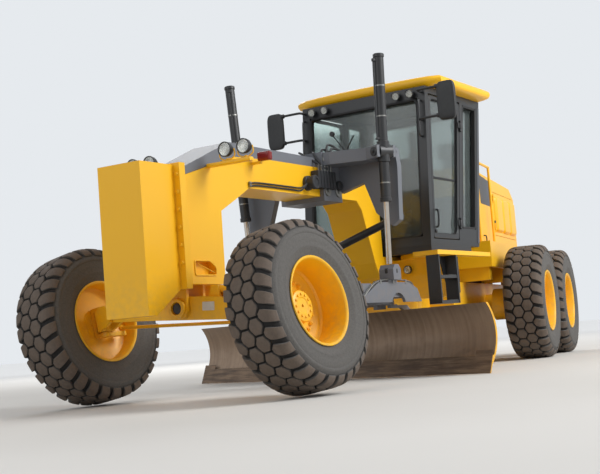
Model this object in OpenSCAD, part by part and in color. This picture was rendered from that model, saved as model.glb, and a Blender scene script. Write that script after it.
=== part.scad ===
/* [Machine] */
// Distance from the front axle to the middle of the tandems
wheelbase = 6160; // [5900:10:6400]
// Distance of the frame hinge ahead of the middle of the tandems
hinge_ahead = 2100; // [2050:10:2150]
// Articulation of the frame as stored, rear end towards the right
artic_rest = 11; // [0:1:20]
// Lean of the front wheels as stored, tops towards the right
lean_rest = 10; // [0:1:15]
// Steering of the front wheels as stored, towards the right
steer_rest = 4; // [0:1:20]
// Turn of the circle as stored, left blade end forward
circle_rest = 16; // [0:1:30]
// Side shift of the blade as stored, towards the right
blade_shift_rest = 500; // [0:10:600]

/* [Wheels] */
// Outer radius of a tyre, out to the lug tips
tyre_r = 665; // [650:1:680]
// Full width of a tyre at the sidewalls
tyre_w = 470; // [450:2:480]
// Radius of the rim flange
rim_r = 356; // [350:1:362]
// Distance between the outer faces of the rim flanges
rim_w = 430; // [410:2:440]
// Distance between the wheels of a tandem
tandem_pitch = 1540; // [1500:10:1600]
// Distance of a rear wheel's middle from the centre plane
rear_wheel_y = 1085; // [1075:1:1100]

/* [Front axle] */
// Distance of a lean pin from the middle of the axle
lean_pin_y = 830; // [810:1:850]
// Distance of the kingpin outboard of the lean pin
kingpin_out = 95; // [90:1:110]
// Distance of the wheel's middle outboard of the kingpin
spindle_out = 165; // [160:1:180]
// Height of the axle beam at its middle
beam_h = 190; // [160:2:200]
// Thickness of the axle beam from front to back
beam_t = 180; // [160:2:184]

/* [Front frame] */
// Half width of the gooseneck and head
neck_half = 200; // [180:2:205]
// Half width of the push block
block_half = 212; // [205:1:240]
// Front face of the push block ahead of the axle
block_reach = 750; // [700:10:800]
// Height of the gooseneck's underside
neck_under = 1775; // [1750:5:1800]
// Height of the gooseneck's top plate
neck_top = 2055; // [2030:5:2080]

/* [Cab] */
// Outer width of the cab
cab_w = 1500; // [1460:10:1540]
// Height of the cab floor plate's top
cab_floor_z = 1290; // [1280:5:1300]
// Height of the underside of the roof
cab_top_z = 2950; // [2900:10:3000]
// Thickness of the cab posts and walls
cab_wall = 60; // [50:2:66]
// Width of the roof
roof_w = 1770; // [1740:10:1800]

/* [Blade] */
// Length of the moldboard
blade_len = 4270; // [4100:10:4300]
// Height of the moldboard's top edge
blade_top_z = 640; // [600:5:645]
// Radius of the moldboard's curve
blade_curve_r = 413; // [400:1:430]
// Thickness of the moldboard plate
blade_t = 22; // [16:1:25]
// Height of the cutting edge above the ground
edge_gap = 5; // [2:1:20]
// Radius of the circle's gear ring
circle_r = 660; // [640:5:670]

/* [Rear body] */
// Width of the engine hood
hood_w = 1120; // [1080:10:1160]
// Height of the hood's top at its front end
hood_z = 2300; // [2250:10:2340]
// Rear end of the hood behind the middle of the tandems
hood_back = 1400; // [1350:10:1450]

/* [Lift cylinders] */
// Radius of a lift cylinder's barrel
lift_barrel_r = 48; // [44:1:52]
// Radius of a lift cylinder's rod
lift_rod_r = 26; // [22:1:30]

/* [Hidden] */
$fn = 48;

// Radial clearance of a running pin and the gap of two faces that only lie together
run_fit = 0.05;
seat_gap = 0.3;
// Side clearance of moving pieces beside each other
side_gap = 6;

yellow = "#f2b817";
grey = "#5c6066";
black = "#202225";
glass_tint = [0.55, 0.66, 0.68, 0.45];

// The origin: below the middle of the whole machine as stored
mid_x = -429;
mid_y = -357;
axle_x = wheelbase / 2;
tandem_x = -wheelbase / 2;
hinge_x = tandem_x + hinge_ahead;
rear_hub_z = tyre_r;

// Half outline of a tyre: distance from its middle plane, radius
tyre_half = [[rim_w / 2 - 15, rim_r - 11], [rim_w / 2 - 15, rim_r + 2],
    [tyre_w / 2 - 7, rim_r + 70], [tyre_w / 2, rim_r + 150], [tyre_w / 2 - 8, tyre_r - 75],
    [tyre_w / 2 - 30, tyre_r - 24], [tyre_w / 2 - 66, tyre_r]];

// Wheel height and axle tilt at which both leaned wheels stand on the ground
hub_lean_z = max([for (p = tyre_half) p[1] * cos(lean_rest) + p[0] * sin(lean_rest)]);
wheel_out = kingpin_out + spindle_out;
osc_rest = -asin(wheel_out * sin(lean_rest) / lean_pin_y);
pin_drop = 60;
hub_drop = 15;
beam_z = hub_lean_z + pin_drop * cos(osc_rest) + hub_drop * cos(lean_rest);

module box(a, b) translate(a) cube(b - a);
module rod_x(r, x0, x1) translate([x0, 0, 0]) rotate([0, 90, 0]) cylinder(r = r, h = x1 - x0);
module rod_y(r, y0, y1) translate([0, y0, 0]) rotate([-90, 0, 0]) cylinder(r = r, h = y1 - y0);
module rod_z(r, z0, z1) translate([0, 0, z0]) cylinder(r = r, h = z1 - z0);
// A plate whose outline lies in x and z, from y0 to y1
module plate_y(points, y0, y1)
    translate([0, y1, 0]) rotate([90, 0, 0]) linear_extrude(y1 - y0) polygon(points);
// A plate whose outline lies in y and z, from x0 to x1
module plate_x(points, x0, x1)
    translate([x0, 0, 0]) rotate([90, 0, 90]) linear_extrude(x1 - x0) polygon(points);
module both_sides() {
    children();
    mirror([0, 1, 0]) children();
}
// The right-hand copy is the mirror image of the left-hand one
module side(s) if (s > 0) children(); else mirror([0, 1, 0]) children();

module at_front() translate([-mid_x, -mid_y, 0]) children();
module at_rear() at_front() translate([hinge_x, 0, 0]) rotate([0, 0, artic_rest])
    translate([-hinge_x, 0, 0]) children();
module at_axle() at_front() translate([axle_x, 0, beam_z]) rotate([osc_rest, 0, 0]) children();
module at_lean(s) at_axle() translate([0, s * lean_pin_y, -pin_drop])
    rotate([lean_rest - osc_rest, 0, 0]) children();
module at_steer(s) at_lean(s) translate([0, s * kingpin_out, -hub_drop])
    rotate([0, 0, -steer_rest]) children();
module at_front_wheel(s) at_steer(s) translate([0, s * spindle_out, 0]) children();

// The push block bolted to the head of the frame
flange_x = axle_x + 260;
flange_t = 75;
flange_out = 58;
block_top = 1890;
block_under = 700;
// Length of the block's flat underside, and the height of the slope's rear end
block_flat = 100;
block_heel = 905;
frame_low = 900;
head_under = 940;
module push_block() color(yellow) at_front() {
    difference() {
        plate_y([[flange_x + flange_t - 1, block_top], [axle_x + block_reach, block_top],
            [axle_x + block_reach, block_under], [axle_x + block_reach - block_flat, block_under],
            [flange_x + flange_t - 1, block_heel]], -block_half, block_half);
        // Tow pin through the lower front of the block
        translate([axle_x + block_reach - tow_in, 0, 0])
            rod_z(tow_pin_r, block_under - 1, block_under + tow_depth);
    }
    box([flange_x + seat_gap, -block_half - flange_out, frame_low],
        [flange_x + flange_t, block_half + flange_out, block_top + 15]);
}
tow_pin_r = 25;
tow_in = 60;
tow_depth = 180;

// The frame: head over the axle, gooseneck, column and the box below the cab
column_x = 180;
column_back = 0;
box_top = 1215;
hinge_lug_r = 120;
hinge_pin_r = 45;
hinge_low = [600, 650];
hinge_high = [990, 1040];
tail_x = hinge_x + 280;
head_back = axle_x - 280;
neck_front = head_back - 440;
swivel_x = axle_x - 460;
swivel_z = 830;
swivel_pin_r = 25;
axle_pin_r = 40;
hanger = [96, 128];
module front_frame() color(yellow) at_front() {
    difference() {
        plate_y([[flange_x, head_under], [flange_x, 1800], [neck_front + 190, neck_top - 20],
            [neck_front - 370, neck_top], [450, neck_top], [column_back + 5, 1900],
            [column_back + 5, box_top], [tail_x, box_top], [tail_x, 650], [-260, 650],
            [column_x - 80, 1000], [column_x, 1150], [column_x + 200, 1690],
            [column_x + 290, neck_under], [neck_front, neck_under],
            [neck_front + 160, neck_under - 85], [head_back - 10, 1555],
            [head_back, head_under]], -neck_half, neck_half);
        // Windows in the head's side plates, rounded at the upper rear corner
        both_sides() plate_y([[axle_x + 120, 1020], [axle_x + 120, 1125], [axle_x - 100, 1125],
            [axle_x - 135, 1110], [axle_x - 150, 1075], [axle_x - 150, 1020]],
            neck_half - 60, neck_half + 1);
    }
    // The plates of the frame hinge
    difference() {
        for (z = [hinge_low, hinge_high]) {
            translate([hinge_x, 0, 0]) rod_z(hinge_lug_r, z[0], z[1]);
            box([hinge_x, -hinge_lug_r, z[0]], [tail_x + 1, hinge_lug_r, z[1]]);
        }
        translate([hinge_x, 0, 0]) rod_z(hinge_pin_r + run_fit, hinge_low[0] - 1, hinge_high[1] + 1);
    }
    // Hangers of the front axle before and behind the beam
    difference() {
        for (x = [[hanger[0], hanger[1]], [-hanger[1], -hanger[0]]])
            plate_x([[-95, head_under + 1], [-95, beam_z - 30], [-60, beam_z - 80],
                [60, beam_z - 80], [95, beam_z - 30], [95, head_under + 1]],
                axle_x + x[0], axle_x + x[1]);
        translate([axle_x, 0, beam_z]) rod_x(axle_pin_r + run_fit, -hanger[1] - 1, hanger[1] + 1);
    }
    // Clevis that holds the drawbar's swivel
    difference() {
        for (z = [swivel_z - 115, swivel_z + 80]) {
            translate([swivel_x, 0, 0]) rod_z(75, z, z + 35);
            box([swivel_x, -75, z], [head_back - 20, 75, z + 35]);
        }
        translate([swivel_x, 0, 0]) rod_z(swivel_pin_r + run_fit, swivel_z - 116, swivel_z + 116);
    }
    box([head_back - 60, -75, swivel_z - 115], [head_back + 5, 75, 1100]);
}

// The sheet cover on top of the gooseneck
cover_top = 2160;
cover_front = flange_x - 80;
// Height of the head's sloping top plate at x
function head_top(x) = 1800 + (flange_x - x) * (neck_top - 1820) / (flange_x - neck_front - 190);
module gooseneck_cover() color(grey) at_front() {
    plate_y([[cover_front, head_top(cover_front) + seat_gap + 0.3], [cover_front, 1890],
        [neck_front + 240, cover_top], [950, cover_top - 15], [950, neck_top + seat_gap],
        [neck_front - 370, neck_top + seat_gap], [neck_front + 190, neck_top - 20 + seat_gap + 0.3]],
        -neck_half + 12, neck_half - 12);
}

// Drive lamps in pairs on side brackets, with the turn lamps behind
lamp_x = axle_x - 150;
lamp_z = 2030;
lamp_r = 64;
// Columns: distance from the centre plane of each lamp of a pair
lamp_places = [400, 585];
turn_x = 2250;
turn_z = neck_top - 50;
module front_lamps() color(black) at_front() both_sides() {
    for (y = lamp_places) translate([lamp_x, y, lamp_z]) {
        rod_x(lamp_r, -45, 40);
        translate([0, 0, -lamp_r - 30]) rod_z(14, 0, 40);
    }
    box([lamp_x - 30, neck_half + seat_gap, lamp_z - lamp_r - 60],
        [lamp_x + 30, lamp_places[1] + 40, lamp_z - lamp_r - 28]);
    box([turn_x, neck_half + seat_gap, turn_z - 20], [turn_x + 60, neck_half + 100, turn_z + 5]);
    box([turn_x, neck_half + 70, turn_z], [turn_x + 60, neck_half + 200, turn_z + 80]);
}

// The blade lift saddle: a yoke around the gooseneck with two lift arms
saddle_x = 1000;
leg_x = [770, 850];
arm_half = 110;
trunnion_z = 2130;
trunnion_r = 25;
cheek_in = 78;
// A point on the back of the trunnion's fork, s to the front or rear, y inboard of the pin
function lift_point(s, y) = [trunnion_x + s * arm_half * cos(lift_skew) - y * sin(lift_skew),
    trunnion_y - s * arm_half * sin(lift_skew) - y * cos(lift_skew)];
module saddle() color(grey) at_front() {
    difference() {
        box([saddle_x - 170, -neck_half - 45, neck_under - 45],
            [saddle_x + 170, neck_half + 45, cover_top + 40]);
        box([saddle_x - 171, -neck_half - seat_gap, neck_under - seat_gap],
            [saddle_x + 171, neck_half + seat_gap, cover_top + seat_gap]);
    }
    both_sides() {
        // Arm out to the fork that the cylinder's trunnion turns in
        translate([0, 0, trunnion_z - 60]) linear_extrude(120)
            polygon([[leg_x[0], neck_half + 40], [saddle_x + 150, neck_half + 40],
                [saddle_x + 150, neck_half + 120], lift_point(1, 126), lift_point(-1, 126),
                [leg_x[0], trunnion_y - 40]]);
        translate([trunnion_x, trunnion_y, trunnion_z]) rotate([0, 0, -lift_skew]) difference() {
            for (x = [[cheek_in, arm_half], [-arm_half, -cheek_in]])
                box([x[0], -128, -57], [x[1], 50, 57]);
            rod_x(trunnion_r + run_fit, -arm_half - 1, arm_half + 1);
        }
        // The leg of the lift arm, down behind the cylinder
        plate_x([[neck_half + 40, 2180], [870, 2180], [885, 2000], [860, 1490], [780, 1440],
            [620, 1580], [510, 1890], [neck_half + 40, 1820]], leg_x[0], leg_x[1]);
    }
    // Pin of the centre-shift cylinder on the left leg
    translate([leg_x[0], shift_base_y, shift_base_z]) rod_x(20, -75, 1);
}

// Lift cylinders: a barrel on its trunnion and a rod down to the drawbar
lift_foot_x = 977;
lift_foot_y = 780;
lift_foot_z = 1072;
lift_out = 53;
// The trunnion's pin points at the swivel, so the rod's foot follows the drawbar's swing
lift_skew = atan(lift_foot_y / (swivel_x - lift_foot_x));
trunnion_x = lift_foot_x + lift_out * sin(lift_skew);
trunnion_y = lift_foot_y + lift_out * cos(lift_skew);
lift_tilt = atan(lift_out / (trunnion_z - lift_foot_z));
lift_len = norm([lift_out, trunnion_z - lift_foot_z]);
lift_up = 915;
lift_down = 460;
lift_rod_top = 215;
module at_lift(s) at_front() side(s) translate([trunnion_x, trunnion_y, trunnion_z])
    rotate([0, 0, -lift_skew]) rotate([-lift_tilt, 0, 0]) children();
module lift_barrel(s) color(black) at_lift(s) difference() {
    union() {
        rod_z(lift_barrel_r, -lift_down, lift_up);
        rod_x(66, -72, 72);
        rod_x(trunnion_r, -arm_half, arm_half);
    }
    rod_z(lift_rod_r + run_fit, -lift_down - 1, lift_up - 60);
}
module lift_rod(s) color("silver") at_lift(s) rod_z(lift_rod_r, -lift_len, lift_rod_top);

// The centre-shift cylinder from the left lift arm across to the drawbar's right side
shift_base_y = 790;
shift_base_z = 1530;
shift_eye_y = -560;
shift_eye_z = 1100;
shift_x = 722;
shift_barrel_end = 760;
shift_rod_in = 395;
shift_eye_r = 36;
shift_len = norm([shift_base_y - shift_eye_y, shift_base_z - shift_eye_z]);
shift_slope = atan2(shift_base_z - shift_eye_z, shift_base_y - shift_eye_y);
// Local x runs from the base towards the eye
module at_shift() at_front() translate([shift_x, shift_base_y, shift_base_z])
    rotate([shift_slope, 0, 0]) rotate([0, 0, -90]) children();
module shift_barrel() color(black) at_shift() difference() {
    union() {
        rod_x(38, 30, shift_barrel_end);
        rod_y(44, -26, 26);
    }
    rod_x(20 + run_fit, 80, shift_barrel_end + 1);
    rod_y(20 + run_fit, -27, 27);
}
module shift_rod() color("silver") at_shift() {
    rod_x(20, shift_rod_in, shift_len - 30);
    translate([shift_len, 0, 0]) rod_y(shift_eye_r, -16, 16);
}

// The cab. Its side outline: x at the floor and x at the top, front and rear
cab_front = [-20, -180];
cab_back = [-1220, -1560];
module cab_outline(inset, low, high) polygon([
    [cab_front[0] - inset, low], [cab_x(cab_front, high) - inset, high],
    [cab_x(cab_back, high) + inset, high], [cab_back[0] + inset, low]]);
// x of a cab edge at height z
function cab_x(edge, z) = edge[0] + (edge[1] - edge[0]) * (z - cab_floor_z) / (cab_top_z - cab_floor_z);
module cab_prism(inset, low, high, y0, y1)
    translate([0, y1, 0]) rotate([90, 0, 0]) linear_extrude(y1 - y0) cab_outline(inset, low, high);

// Columns: front edge and rear edge as distances behind the cab's front edge at the floor,
// bottom, top of each opening in a side wall
door_open = [75, 690, 1350, 2880];
quarter_open = [760, 1120, 1480, 2860];
// The slant of the door's rear edge, in mm of x for each mm of height
rear_slant = -0.2;
front_slant = (cab_front[1] - cab_front[0]) / (cab_top_z - cab_floor_z);
// Outline of an opening, grown by g on every side
function opening(o, g) = let (x0 = cab_front[0] - o[0] + g, x1 = cab_front[0] - o[1] - g)
    [[x0 + front_slant * (o[2] - g - cab_floor_z), o[2] - g],
     [x0 + front_slant * (o[3] + g - cab_floor_z), o[3] + g],
     [x1 + rear_slant * (o[3] + g - cab_floor_z), o[3] + g],
     [x1 + rear_slant * (o[2] - g - cab_floor_z), o[2] - g]];
// The quarter window has the rear slant at both of its edges
function quarter(g) = let (o = quarter_open, x0 = cab_front[0] - o[0] + g, x1 = cab_front[0] - o[1] - g)
    [[x0 + rear_slant * (o[2] - g - cab_floor_z), o[2] - g],
     [x0 + rear_slant * (o[3] + g - cab_floor_z), o[3] + g],
     [x1 + rear_slant * (o[3] + g - cab_floor_z), o[3] + g],
     [x1 + rear_slant * (o[2] - g - cab_floor_z), o[2] - g]];
screen_low = 1380;
screen_high = 2830;
screen_half = 660;
back_low = 1900;
back_high = 2800;
back_half = 600;
pane_t = 6;
pane_lap = 15;
cab_half = cab_w / 2;
module cab_floor() color(black) at_front()
    translate([0, 0, cab_floor_z - 70]) linear_extrude(70 - seat_gap)
        polygon([[-20, -cab_half], [-20, cab_half], [-1000, cab_half], [-1220, cab_half - 200],
            [-1220, -cab_half + 200], [-1000, -cab_half]]);
module cab_shell() color(black) at_front() {
    cab_hinges();
    difference() {
        cab_prism(0, cab_floor_z, cab_top_z, -cab_half, cab_half);
        cab_prism(cab_wall, cab_floor_z - 1, cab_top_z - 40, -cab_half + cab_wall, cab_half - cab_wall);
        both_sides() {
            plate_y(opening(door_open, 0), cab_half - cab_wall - 1, cab_half + 1);
            plate_y(quarter(0), cab_half - cab_wall - 1, cab_half + 1);
        }
        // Windscreen and rear window
        box([-400, -screen_half, screen_low], [100, screen_half, screen_high]);
        box([-1700, -back_half, back_low], [-1250, back_half, back_high]);
    }
}
module cab_hinges() both_sides() at_cab_hinge() hinge_post(cab_hinge_z);
module cab_glass() color(glass_tint) at_front() {
    // A pane lies against the inner face of the wall, a little larger than its window
    intersection() {
        difference() {
            cab_prism(cab_wall + seat_gap, cab_floor_z, cab_top_z, -cab_half, cab_half);
            cab_prism(cab_wall + seat_gap + pane_t, cab_floor_z - 1, cab_top_z + 1,
                -cab_half - 1, cab_half + 1);
        }
        union() {
            box([-400, -screen_half - pane_lap, screen_low - pane_lap],
                [100, screen_half + pane_lap, screen_high + pane_lap]);
            box([-1700, -back_half - pane_lap, back_low - pane_lap],
                [-1150, back_half + pane_lap, back_high + pane_lap]);
        }
    }
    both_sides() plate_y(quarter(pane_lap), cab_half - cab_wall - seat_gap - pane_t,
        cab_half - cab_wall - seat_gap);
}
roof_t = 135;
roof_front = -215;
roof_back = -1650;
module cab_roof() color(yellow) at_front() {
    plate_y([[roof_front, cab_top_z + 55], [roof_front - 60, cab_top_z + seat_gap],
        [roof_back + 120, cab_top_z + seat_gap], [roof_back, cab_top_z + 50],
        [roof_back, cab_top_z + 85], [roof_back + 90, cab_top_z + roof_t],
        [roof_front - 120, cab_top_z + roof_t], [roof_front, cab_top_z + 100]],
        -roof_w / 2, roof_w / 2);
}
door_gap = 6;
// Extra gap over a cab door, whose slanted hinges lift its rear top corner as it opens
door_lift = 8;
door_t = 36;
hinge_out = 14;
hinge_r = 12;
hinge_pin = 6;
// Two hinges on an upright axis. The door reaches from the axis along x, its outer face lies
// hinge_out inboard of the axis. leaf draws the door's half, post the half on the post
module hinge_leaf(heights) for (z = heights) difference() {
    union() {
        rod_z(hinge_r, z, z + 70);
        box([0, -hinge_out - 2, z], [45, -1, z + 70]);
    }
    rod_z(hinge_pin + run_fit, z - 1, z + 71);
}
module hinge_post(heights) for (z = heights) {
    rod_z(hinge_pin, z - 20, z + 90);
    for (dz = [-24, 72]) {
        rod_z(hinge_r, z + dz, z + dz + 22);
        box([-35, -hinge_out - 2, z + dz], [0, -2, z + dz + 22]);
    }
}
cab_hinge_z = [150, 1250];
module at_cab_hinge() translate([cab_front[0] - door_open[1] + door_gap / 2 +
    rear_slant * (door_open[2] - cab_floor_z), cab_half + hinge_out, door_open[2]])
    rotate([0, atan(rear_slant), 0]) children();
module cab_door() {
    difference() {
        plate_y(opening([door_open[0], door_open[1], door_open[2], door_open[3] - door_lift], -door_gap),
            cab_half - door_t, cab_half);
        plate_y(opening([door_open[0] + 50, door_open[1] - 50, door_open[2] + 60, door_open[3] - 50], 0),
            cab_half - door_t - 1, cab_half + 1);
    }
    plate_y(opening([door_open[0] + 50, door_open[1] - 50, door_open[2] + 60, door_open[3] - 50],
        pane_lap), cab_half - door_t - seat_gap - pane_t, cab_half - door_t - seat_gap);
    at_cab_hinge() hinge_leaf(cab_hinge_z);
}
module cab_door_left() color(black) at_front() cab_door();
module cab_door_right() color(black) at_front() mirror([0, 1, 0]) cab_door();

seat_x = -800;
module seat() color("#33363b") at_front() {
    box([seat_x - 160, -140, cab_floor_z + seat_gap], [seat_x + 160, 140, cab_floor_z + 330]);
    box([seat_x - 240, -250, cab_floor_z + 330], [seat_x + 250, 250, cab_floor_z + 450]);
    plate_y([[seat_x - 240, cab_floor_z + 440], [seat_x - 120, cab_floor_z + 440],
        [seat_x - 190, cab_floor_z + 1090], [seat_x - 290, cab_floor_z + 1090]], -240, 240);
}
wheel_x = -330;
module controls() color("#2b2d31") at_front() {
    plate_y([[wheel_x - 60, cab_floor_z + seat_gap], [wheel_x + 90, cab_floor_z + seat_gap],
        [wheel_x + 20, cab_floor_z + 700], [wheel_x - 60, cab_floor_z + 700]], -80, 80);
    translate([wheel_x - 40, 0, cab_floor_z + 690]) rotate([0, -25, 0]) {
        rod_z(25, -20, 75);
        rotate_extrude() translate([170, 75]) circle(r = 14);
        for (a = [90, 210, 330]) rotate([0, 0, a]) translate([0, 0, 75]) rod_x(10, 0, 172);
    }
    both_sides() box([seat_x - 60, 300, cab_floor_z + seat_gap], [seat_x + 300, 440, cab_floor_z + 620]);
}
mirror_x = -60;
mirror_y = 1040;
mirror_z = [2530, 2930];
mirror_tube = 14;
module mirrors() color(black) at_front() both_sides() {
    box([mirror_x - 30, mirror_y - 100, mirror_z[0]], [mirror_x + 30, mirror_y + 100, mirror_z[1]]);
    // Tubes from the front posts out to the mirror's frame
    for (z = [mirror_z[0] + 60, mirror_z[1] - 40]) {
        translate([mirror_x, 0, z]) rod_y(mirror_tube, cab_half - 40, mirror_y - 90);
        translate([0, cab_half - 40, z]) rod_x(mirror_tube,
            cab_x(cab_front, z - mirror_tube) + seat_gap, mirror_x + mirror_tube);
    }
}

// Side boxes below the cab, the walkway on them, and a ladder down each side
deck_z = cab_floor_z - 70;
deck_y = 875;
// Columns: side, front and rear stile of its ladder
ladders = [[1, 90, -320], [-1, -150, -560]];
ladder_low = 680;
module platforms() color(yellow) at_front() for (l = ladders) side(l[0]) {
    plate_y([[-260, 1000], [-200, deck_z - 45], [-640, deck_z - 45], [-640, 800], [-560, 760], [-400, 760]],
        neck_half + seat_gap, 745);
    translate([0, 0, deck_z - 45]) linear_extrude(45 - seat_gap)
        polygon([[l[1] + 20, 600], [l[1] + 20, deck_y], [l[2] - 70, deck_y], [-1250, 860],
            [-1000, 760], [-700, 720], [-640, 300], [-200, 300], [min(0, l[1]), 600]]);
    for (x = [l[1], l[2]]) box([x - 12, deck_y - 140, ladder_low], [x + 12, deck_y, deck_z - 44]);
    for (z = [ladder_low + 15, ladder_low + 270])
        box([l[2], deck_y - 135, z - 15], [l[1], deck_y - 5, z + 15]);
}

// The rear frame with the tongue of the hinge, axle stubs and the hitch
rail_x = hinge_x - 340;
rail_z = [620, 950];
stub_r = 110;
tandem_in = 640;
tail_end = tandem_x - 1570;
hitch_pin_r = 20;
module rear_frame() color(yellow) at_rear() {
    // Tongue and its pin
    difference() {
        union() {
            translate([hinge_x, 0, 0]) rod_z(hinge_lug_r - 5, hinge_low[1] + 5, hinge_high[0] - 5);
            box([rail_x - 1, -100, hinge_low[1] + 5], [hinge_x, 100, hinge_high[0] - 5]);
        }
        translate([hinge_x, 0, 0]) rod_z(hinge_pin_r - 1, hinge_low[1], hinge_high[0]);
    }
    translate([hinge_x, 0, 0]) rod_z(hinge_pin_r, hinge_low[0], hinge_high[1]);
    plate_y([[rail_x, rail_z[0] + 60], [rail_x, rail_z[1]], [tail_end + 120, rail_z[1]],
        [tail_end + 120, rail_z[0] + 80], [tandem_x + 300, rail_z[0]], [rail_x - 300, rail_z[0]]],
        -380, 380);
    translate([tandem_x, 0, rear_hub_z]) rod_y(stub_r + 35, -tandem_in + 8, tandem_in - 8);
    translate([tandem_x, 0, rear_hub_z]) rod_y(stub_r, -tandem_in - 130, tandem_in + 130);
    // Hitch block and its pin hole
    difference() {
        box([tail_end, -150, 640], [tail_end + 121, 150, 860]);
        box([tail_end - 1, -151, 715], [tail_end + 90, 151, 785]);
        translate([tail_end + 45, 0, 0]) rod_z(hitch_pin_r, 639, 861);
    }
}

hood_front = hinge_x - 850;
hood_rear = tandem_x - hood_back;
hood_low = 1400;
hood_door_x = [hood_rear + 60, tandem_x + 20];
hood_door_z = [1550, 2170];
sheet_t = 30;
hood_half = hood_w / 2;
hood_fall = 60;
// Height of the hood's top at x
function hood_top(x) = hood_z - hood_fall * (hood_front - x) / (hood_front - hood_rear - 250);
module hood_side(inset, low) plate_y([[hood_front - inset, low], [hood_front - inset, hood_z - inset],
    [hood_rear + 250, hood_z - hood_fall - inset], [hood_rear + inset, hood_z - 190 - inset],
    [hood_rear + inset, low]], -hood_half + inset, hood_half - inset);
hood_hinge_z = [60, 430];
module at_hood_hinge() translate([hood_door_x[1] - door_gap / 2, hood_half + hinge_out, hood_door_z[0]])
    mirror([1, 0, 0]) children();
module hood() color(yellow) at_rear() {
    both_sides() at_hood_hinge() hinge_post(hood_hinge_z);
    difference() {
        hood_side(0, hood_low);
        hood_side(sheet_t, hood_low - 1);
        // Openings of the side doors and of the rear grille
        box([hood_door_x[0], -hood_half - 1, hood_door_z[0]],
            [hood_door_x[1], hood_half + 1, hood_door_z[1] - 60]);
        box([hood_rear - 1, -hood_half + 120, hood_low + 80],
            [hood_rear + sheet_t + 1, hood_half - 120, hood_z - 330]);
    }
}
// Half length, half width and top of the engine block
engine_size = [625, 330, 1950];
engine_x = tandem_x - 25;
module engine() color("#4a4d52") at_rear()
    box([engine_x - engine_size[0], -engine_size[1], rail_z[1] + seat_gap],
        [engine_x + engine_size[0], engine_size[1], engine_size[2]]);
rear_deck_z = 1100;
module rear_deck() color(yellow) at_rear() {
    difference() {
        plate_y([[hood_front + 60, rear_deck_z], [hood_front + 60, hood_low - seat_gap],
            [hood_rear - 20, hood_low - seat_gap], [hood_rear - 20, rear_deck_z]], -760, 760);
        plate_y([[hood_front + 30, rear_deck_z - 1], [hood_front + 30, hood_low - 30],
            [hood_rear + 10, hood_low - 30], [hood_rear + 10, rear_deck_z - 1]], -700, 700);
        box([tandem_x - 900, -400, hood_low - 40], [tandem_x + 800, 400, hood_low + 1]);
    }
    // Feet on the rails of the frame
    for (x = [hood_front - 100, tandem_x, hood_rear + 200])
        both_sides() box([x - 60, 340, rail_z[1] + seat_gap], [x + 60, 701, rear_deck_z + 60]);
    // Hand rails along the hood
    both_sides() {
        for (x = rail_posts)
            translate([x, hood_half + 60, 0]) rod_z(16, hood_low - 1, hood_z + 80);
        translate([0, hood_half + 60, hood_z + 70]) rod_x(16, rail_posts[1] - 10, rail_posts[0] + 10);
    }
}
rail_posts = [hood_front - 120, hood_front - 870];
stack_y = -260;
module exhaust() color("#3a3c40") at_rear() {
    translate([hood_front - 700, stack_y, 0]) rod_z(75, hood_z + 20, hood_z + 330);
    translate([hood_front - 700, stack_y, 0]) rod_z(48, hood_z + 329, hood_z + 620);
    translate([hood_front - 330, -stack_y, 0]) rod_z(70, hood_z + 20, hood_z + 150);
    translate([hood_front - 330, -stack_y, 0]) rod_z(120, hood_z + 149, hood_z + 330);
    plate_y([[hood_front - 200, hood_z + 21], [hood_front - 200, hood_top(hood_front - 200) + seat_gap],
        [hood_front - 830, hood_top(hood_front - 830) + seat_gap], [hood_front - 830, hood_z + 21]],
        -350, 350);
}
module rear_grille() color(black) at_rear() {
    difference() {
        box([hood_rear - 24, -hood_half + 100, hood_low + 60],
            [hood_rear - seat_gap, hood_half - 100, hood_z - 310]);
        for (z = [hood_low + 100 : 60 : hood_z - 390])
            box([hood_rear - 25, -hood_half + 130, z], [hood_rear, hood_half - 130, z + 34]);
    }
}
module rear_lamps() color("#8c1d18") at_rear() both_sides()
    box([hood_rear - 60, 560, 1240], [hood_rear - 20 - seat_gap, 740, 1340]);
module hood_door() {
    box([hood_door_x[0] + door_gap, hood_half - sheet_t, hood_door_z[0] + door_gap],
        [hood_door_x[1] - door_gap, hood_half, hood_door_z[1] - 60 - door_gap]);
    at_hood_hinge() hinge_leaf(hood_hinge_z);
}
module hood_door_left() color(yellow) at_rear() hood_door();
module hood_door_right() color(yellow) at_rear() mirror([0, 1, 0]) hood_door();

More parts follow.
